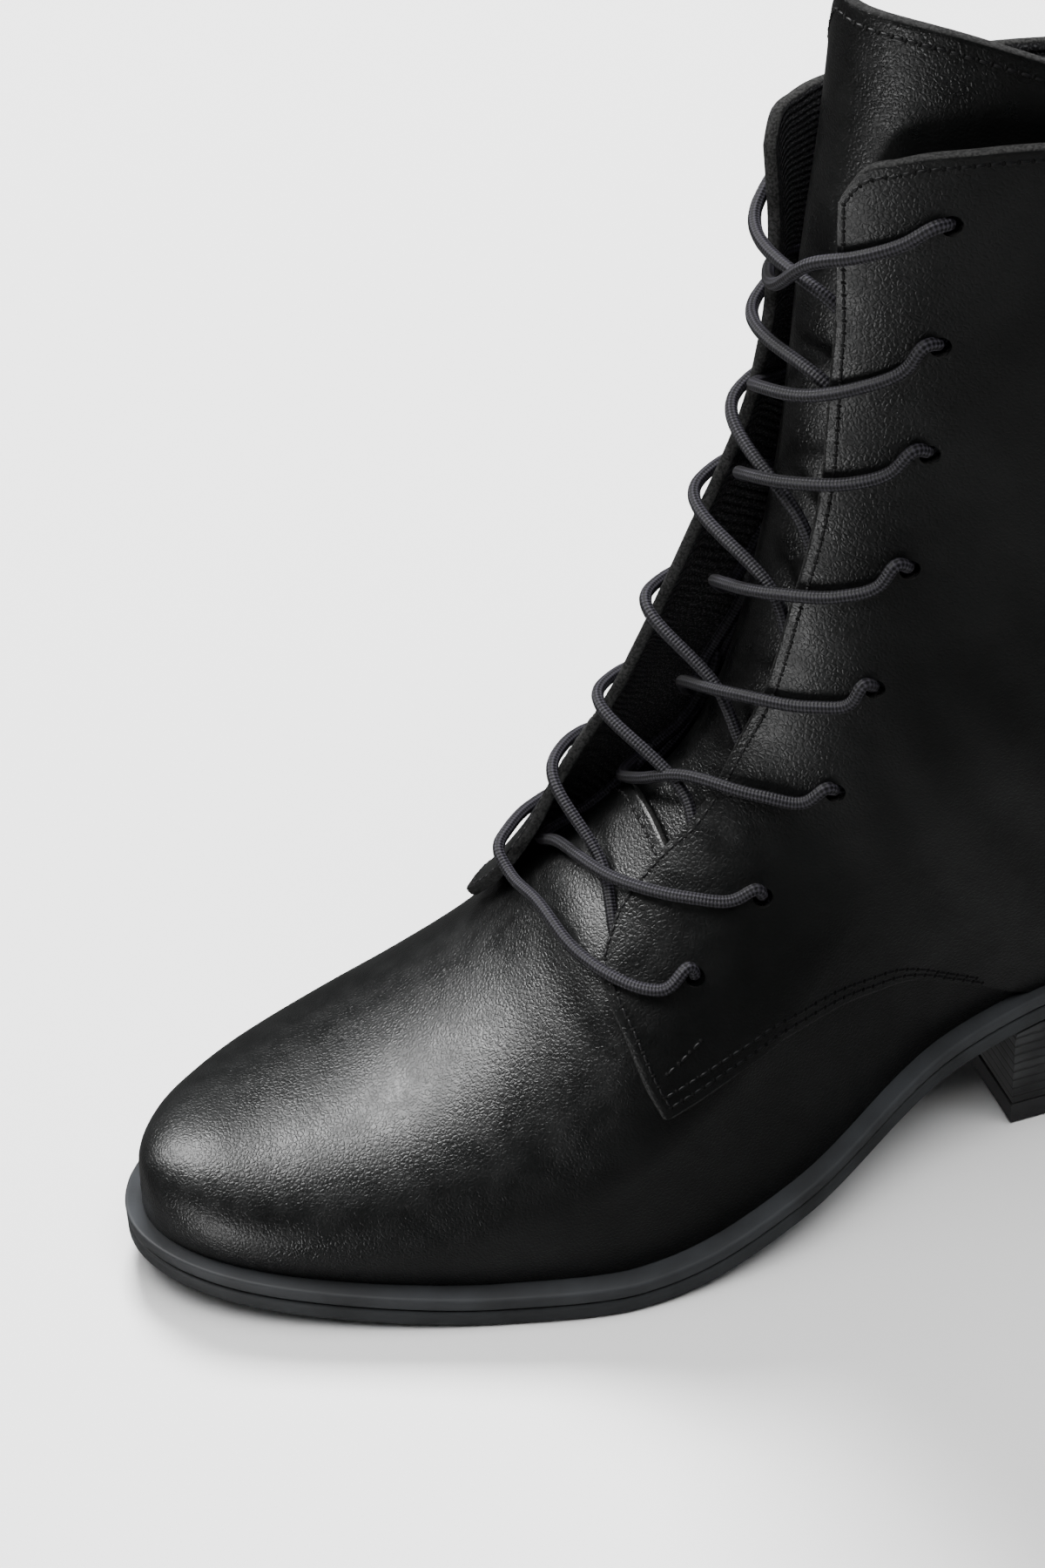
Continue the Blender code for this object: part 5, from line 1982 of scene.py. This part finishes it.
@dataclass
class Studio:
    """Pale floor, soft lights and the camera at the photograph's place."""

    camera_at: Place = (0.2764301, 0.4671162, 0.4688604)
    right: Place = (-0.951264, 0.305785, -0.039907)
    up: Place = (-0.215040, -0.565006, 0.796572)
    back: Place = (0.221032, 0.766331, 0.603225)
    lens: float = 71.59
    floor: Plain = Plain("pale_floor", (0.80, 0.80, 0.80), 0.95)
    sky: float = 0.30
    toe_card: float = 1.6
    low_card: float = 5.0
    back_card: float = 1.0
    floor_reach: float = 4.0
    floor_drop: float = 0.5 * MM
    lamps: tuple[Lamp, ...] = (
        Lamp("front_softbox", (0.93, -0.52, 1.46), (0.14, 0.0, 0.04), (0.75, 1.10), 70, True, False),
        Lamp("back_softbox", (-0.30, -1.95, 3.05), (0.08, 0.0, 0.0), (1.1, 0.9), 430),
        Lamp("overhead_softbox", (0.10, 0.60, 3.0), (0.10, 0.2, 0.0), (3.0, 3.0), 190),
        Lamp("tongue_strip", (0.65, 0.30, -0.11), (0.075, 0.02, 0.235), (0.12, 0.26), 1.2, True, False),
    )

    def surround(self) -> None:
        """Dim room with pale cards past the toe, behind and below, as the leather mirrors them."""
        world = bpy.data.worlds.new("dim_room")
        bpy.context.scene.world = world
        world.use_nodes = True
        nodes, link = world.node_tree.nodes, world.node_tree.links.new
        parts = nodes.new("ShaderNodeSeparateXYZ")
        link(nodes.new("ShaderNodeTexCoord").outputs["Generated"], parts.inputs[0])
        total = None
        for axis, low, high, amount in (
            ("X", 0.35, 1.0, self.toe_card), ("Y", -0.2, -1.0, self.back_card), ("Z", -0.18, -0.90, self.low_card),
        ):
            card = nodes.new("ShaderNodeMapRange")
            card.interpolation_type = "SMOOTHSTEP"
            link(parts.outputs[axis], card.inputs["Value"])
            card.inputs["From Min"].default_value = low
            card.inputs["From Max"].default_value = high
            card.inputs["To Min"].default_value = self.sky / 3
            card.inputs["To Max"].default_value = amount
            if total is None:
                total = card.outputs["Result"]
            else:
                both = nodes.new("ShaderNodeMath")
                link(total, both.inputs[0])
                link(card.outputs["Result"], both.inputs[1])
                total = both.outputs[0]
        link(total, nodes["Background"].inputs["Strength"])

    def build(self) -> None:
        """Add the floor, the lights and the camera."""
        mesh = bpy.data.meshes.new("pale_floor")
        r = self.floor_reach
        corners = [(-r, -r), (r, -r), (r, r), (-r, r)]
        mesh.from_pydata([(x, y, -self.floor_drop) for x, y in corners], [], [(0, 1, 2, 3)])
        mesh.materials.append(self.floor.material())
        ground = bpy.data.objects.new("pale_floor", mesh)
        bpy.context.scene.collection.objects.link(ground)
        ground.visible_glossy = False
        ground.visible_shadow = False
        ground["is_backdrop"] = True
        self.surround()
        for lamp in self.lamps:
            lamp.build()
        lens = bpy.data.cameras.new("camera")
        lens.lens = self.lens
        lens.sensor_width = 36
        lens.dof.use_dof = False
        lens.clip_start = 0.01
        camera = bpy.data.objects.new("camera", lens)
        turn = Matrix((self.right, self.up, self.back)).transposed().to_4x4()
        camera.matrix_world = Matrix.Translation(Vector(self.camera_at)) @ turn
        bpy.context.scene.collection.objects.link(camera)
        bpy.context.scene.camera = camera


@dataclass
class Boot:
    """The whole boot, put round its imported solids."""

    frame: object
    sole: SoleShape = SoleShape()
    tab_bar: tuple[tuple[float, float], tuple[float, float]] = ((7.33, 0.600), (7.75, 0.600))
    first_row_inside: float = 2.0 * MM
    second_row_inside: float = 4.4 * MM
    tail_end: float = 10.7
    throat_inside: float = 0.13
    tongue_inside: float = 0.16

    def dress(self, made: bpy.types.Object, replaces: Sequence[str] = ()) -> None:
        """Hang a piece on the boot, hide the solids it stands for, and log its face count.

        Args:
            made: the piece.
            replaces: names of the solids it stands for.
        """
        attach(made, "root")
        if replaces:
            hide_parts(*replaces)
        LOG.info("%s: %d faces", made.name, len(made.data.polygons))

    def upper_rows(self, upper: Upper) -> list[Row]:
        """Rows of stitches on the quarters, with the short bar over the near front tab.

        Args:
            upper: the vamp and quarters to be sewn.

        Returns:
            The rows.
        """
        rows = []
        for side in Side:
            station, up = upper.quarter_grid(side)
            points = upper.pattern.outer(station, up, side)
            away = grid_normals(points) * side.value
            near = self.first_row_inside
            rows.append(row_inside(points, away, "last", near, near, near))
            rows.append(row_inside(points, away, "end", near, near / 2, near))
            rows.append(row_inside(points, away, "start", near, near, near))
            low = int(np.searchsorted(station[:, 0], self.tail_end))
            for inside in (near, self.second_row_inside):
                rows.append(row_inside(points[:low], away[:low], "first", inside, near, near / 4))
        rows.append(self.short_row(upper.pattern))
        return rows

    def short_row(self, pattern: Pattern) -> Row:
        """Short bar of stitches over the near front tab.

        Args:
            pattern: outlines of the quarters.

        Returns:
            The row.
        """
        share = np.linspace(0, 1, 16)
        (station, up), (to_station, to_up) = self.tab_bar
        at = station + (to_station - station) * share
        high = up + (to_up - up) * share
        return Row(pattern.outer(at, high, Side.NEAR), pattern.last.normal(at, 1 - high))

    def throat_row(self, upper: Upper) -> Row:
        """Row of stitches across the vamp, inside its throat edge.

        Args:
            upper: the vamp to be sewn.

        Returns:
            The row.
        """
        g = np.linspace(0.42, -0.42, 120)
        station = upper.pattern.throat.at("station", 1 - np.abs(g)) - self.throat_inside
        return Row(upper.pressed(station, g), upper.pattern.last.normal(station, g))

    def tongue_row(self, tongue: Tongue) -> Row:
        """Row of stitches inside the tongue's top edge.

        Args:
            tongue: the tongue to be sewn.

        Returns:
            The row.
        """
        across = np.linspace(0.97, -0.97, 140)
        station = tongue.top(across) - self.tongue_inside
        points = tongue.surface(station, across)
        beside = tongue.surface(station - 0.05, across)
        out = np.cross(points - beside, np.gradient(points, axis=0))
        return Row(points, out / np.linalg.norm(out, axis=-1, keepdims=True))

    def build(self) -> None:
        """Build every piece."""
        last = Last(self.sole)
        pattern = Pattern(last)
        upper = Upper(pattern)
        self.dress(upper.vamp(), ("upper",))
        self.dress(upper.quarters(), ("upper",))
        tongue = Tongue(last)
        self.dress(tongue.build(), ("tongue",))
        outsole, welt, insole, heel, lift = Soles(self.sole).build()
        self.dress(outsole, ("outsole",))
        self.dress(welt, ("welt",))
        self.dress(insole, ("insole",))
        self.dress(heel, ("heel",))
        self.dress(lift, ("heel_top_lift",))
        lace = Laces(pattern).build()
        nodes = ["lace_crossing_%d" % k for k in range(1, 8)] + ["lace_bar"]
        self.dress(lace, nodes)
        for made in Stitching().build("upper", [*self.upper_rows(upper), self.throat_row(upper)]):
            self.dress(made, ("upper",))
        for made in Stitching().build("tongue", [self.tongue_row(tongue)]):
            self.dress(made, ("tongue",))


def main() -> None:
    """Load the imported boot, dress it and set it in the studio."""
    logging.basicConfig(level=logging.INFO, format="%(message)s")
    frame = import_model()
    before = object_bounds()
    Boot(frame).build()
    Studio().build()
    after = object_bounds()
    sizes = [[list(corner) for corner in box] for box in (before, after)]


if __name__ == "__main__":
    main()
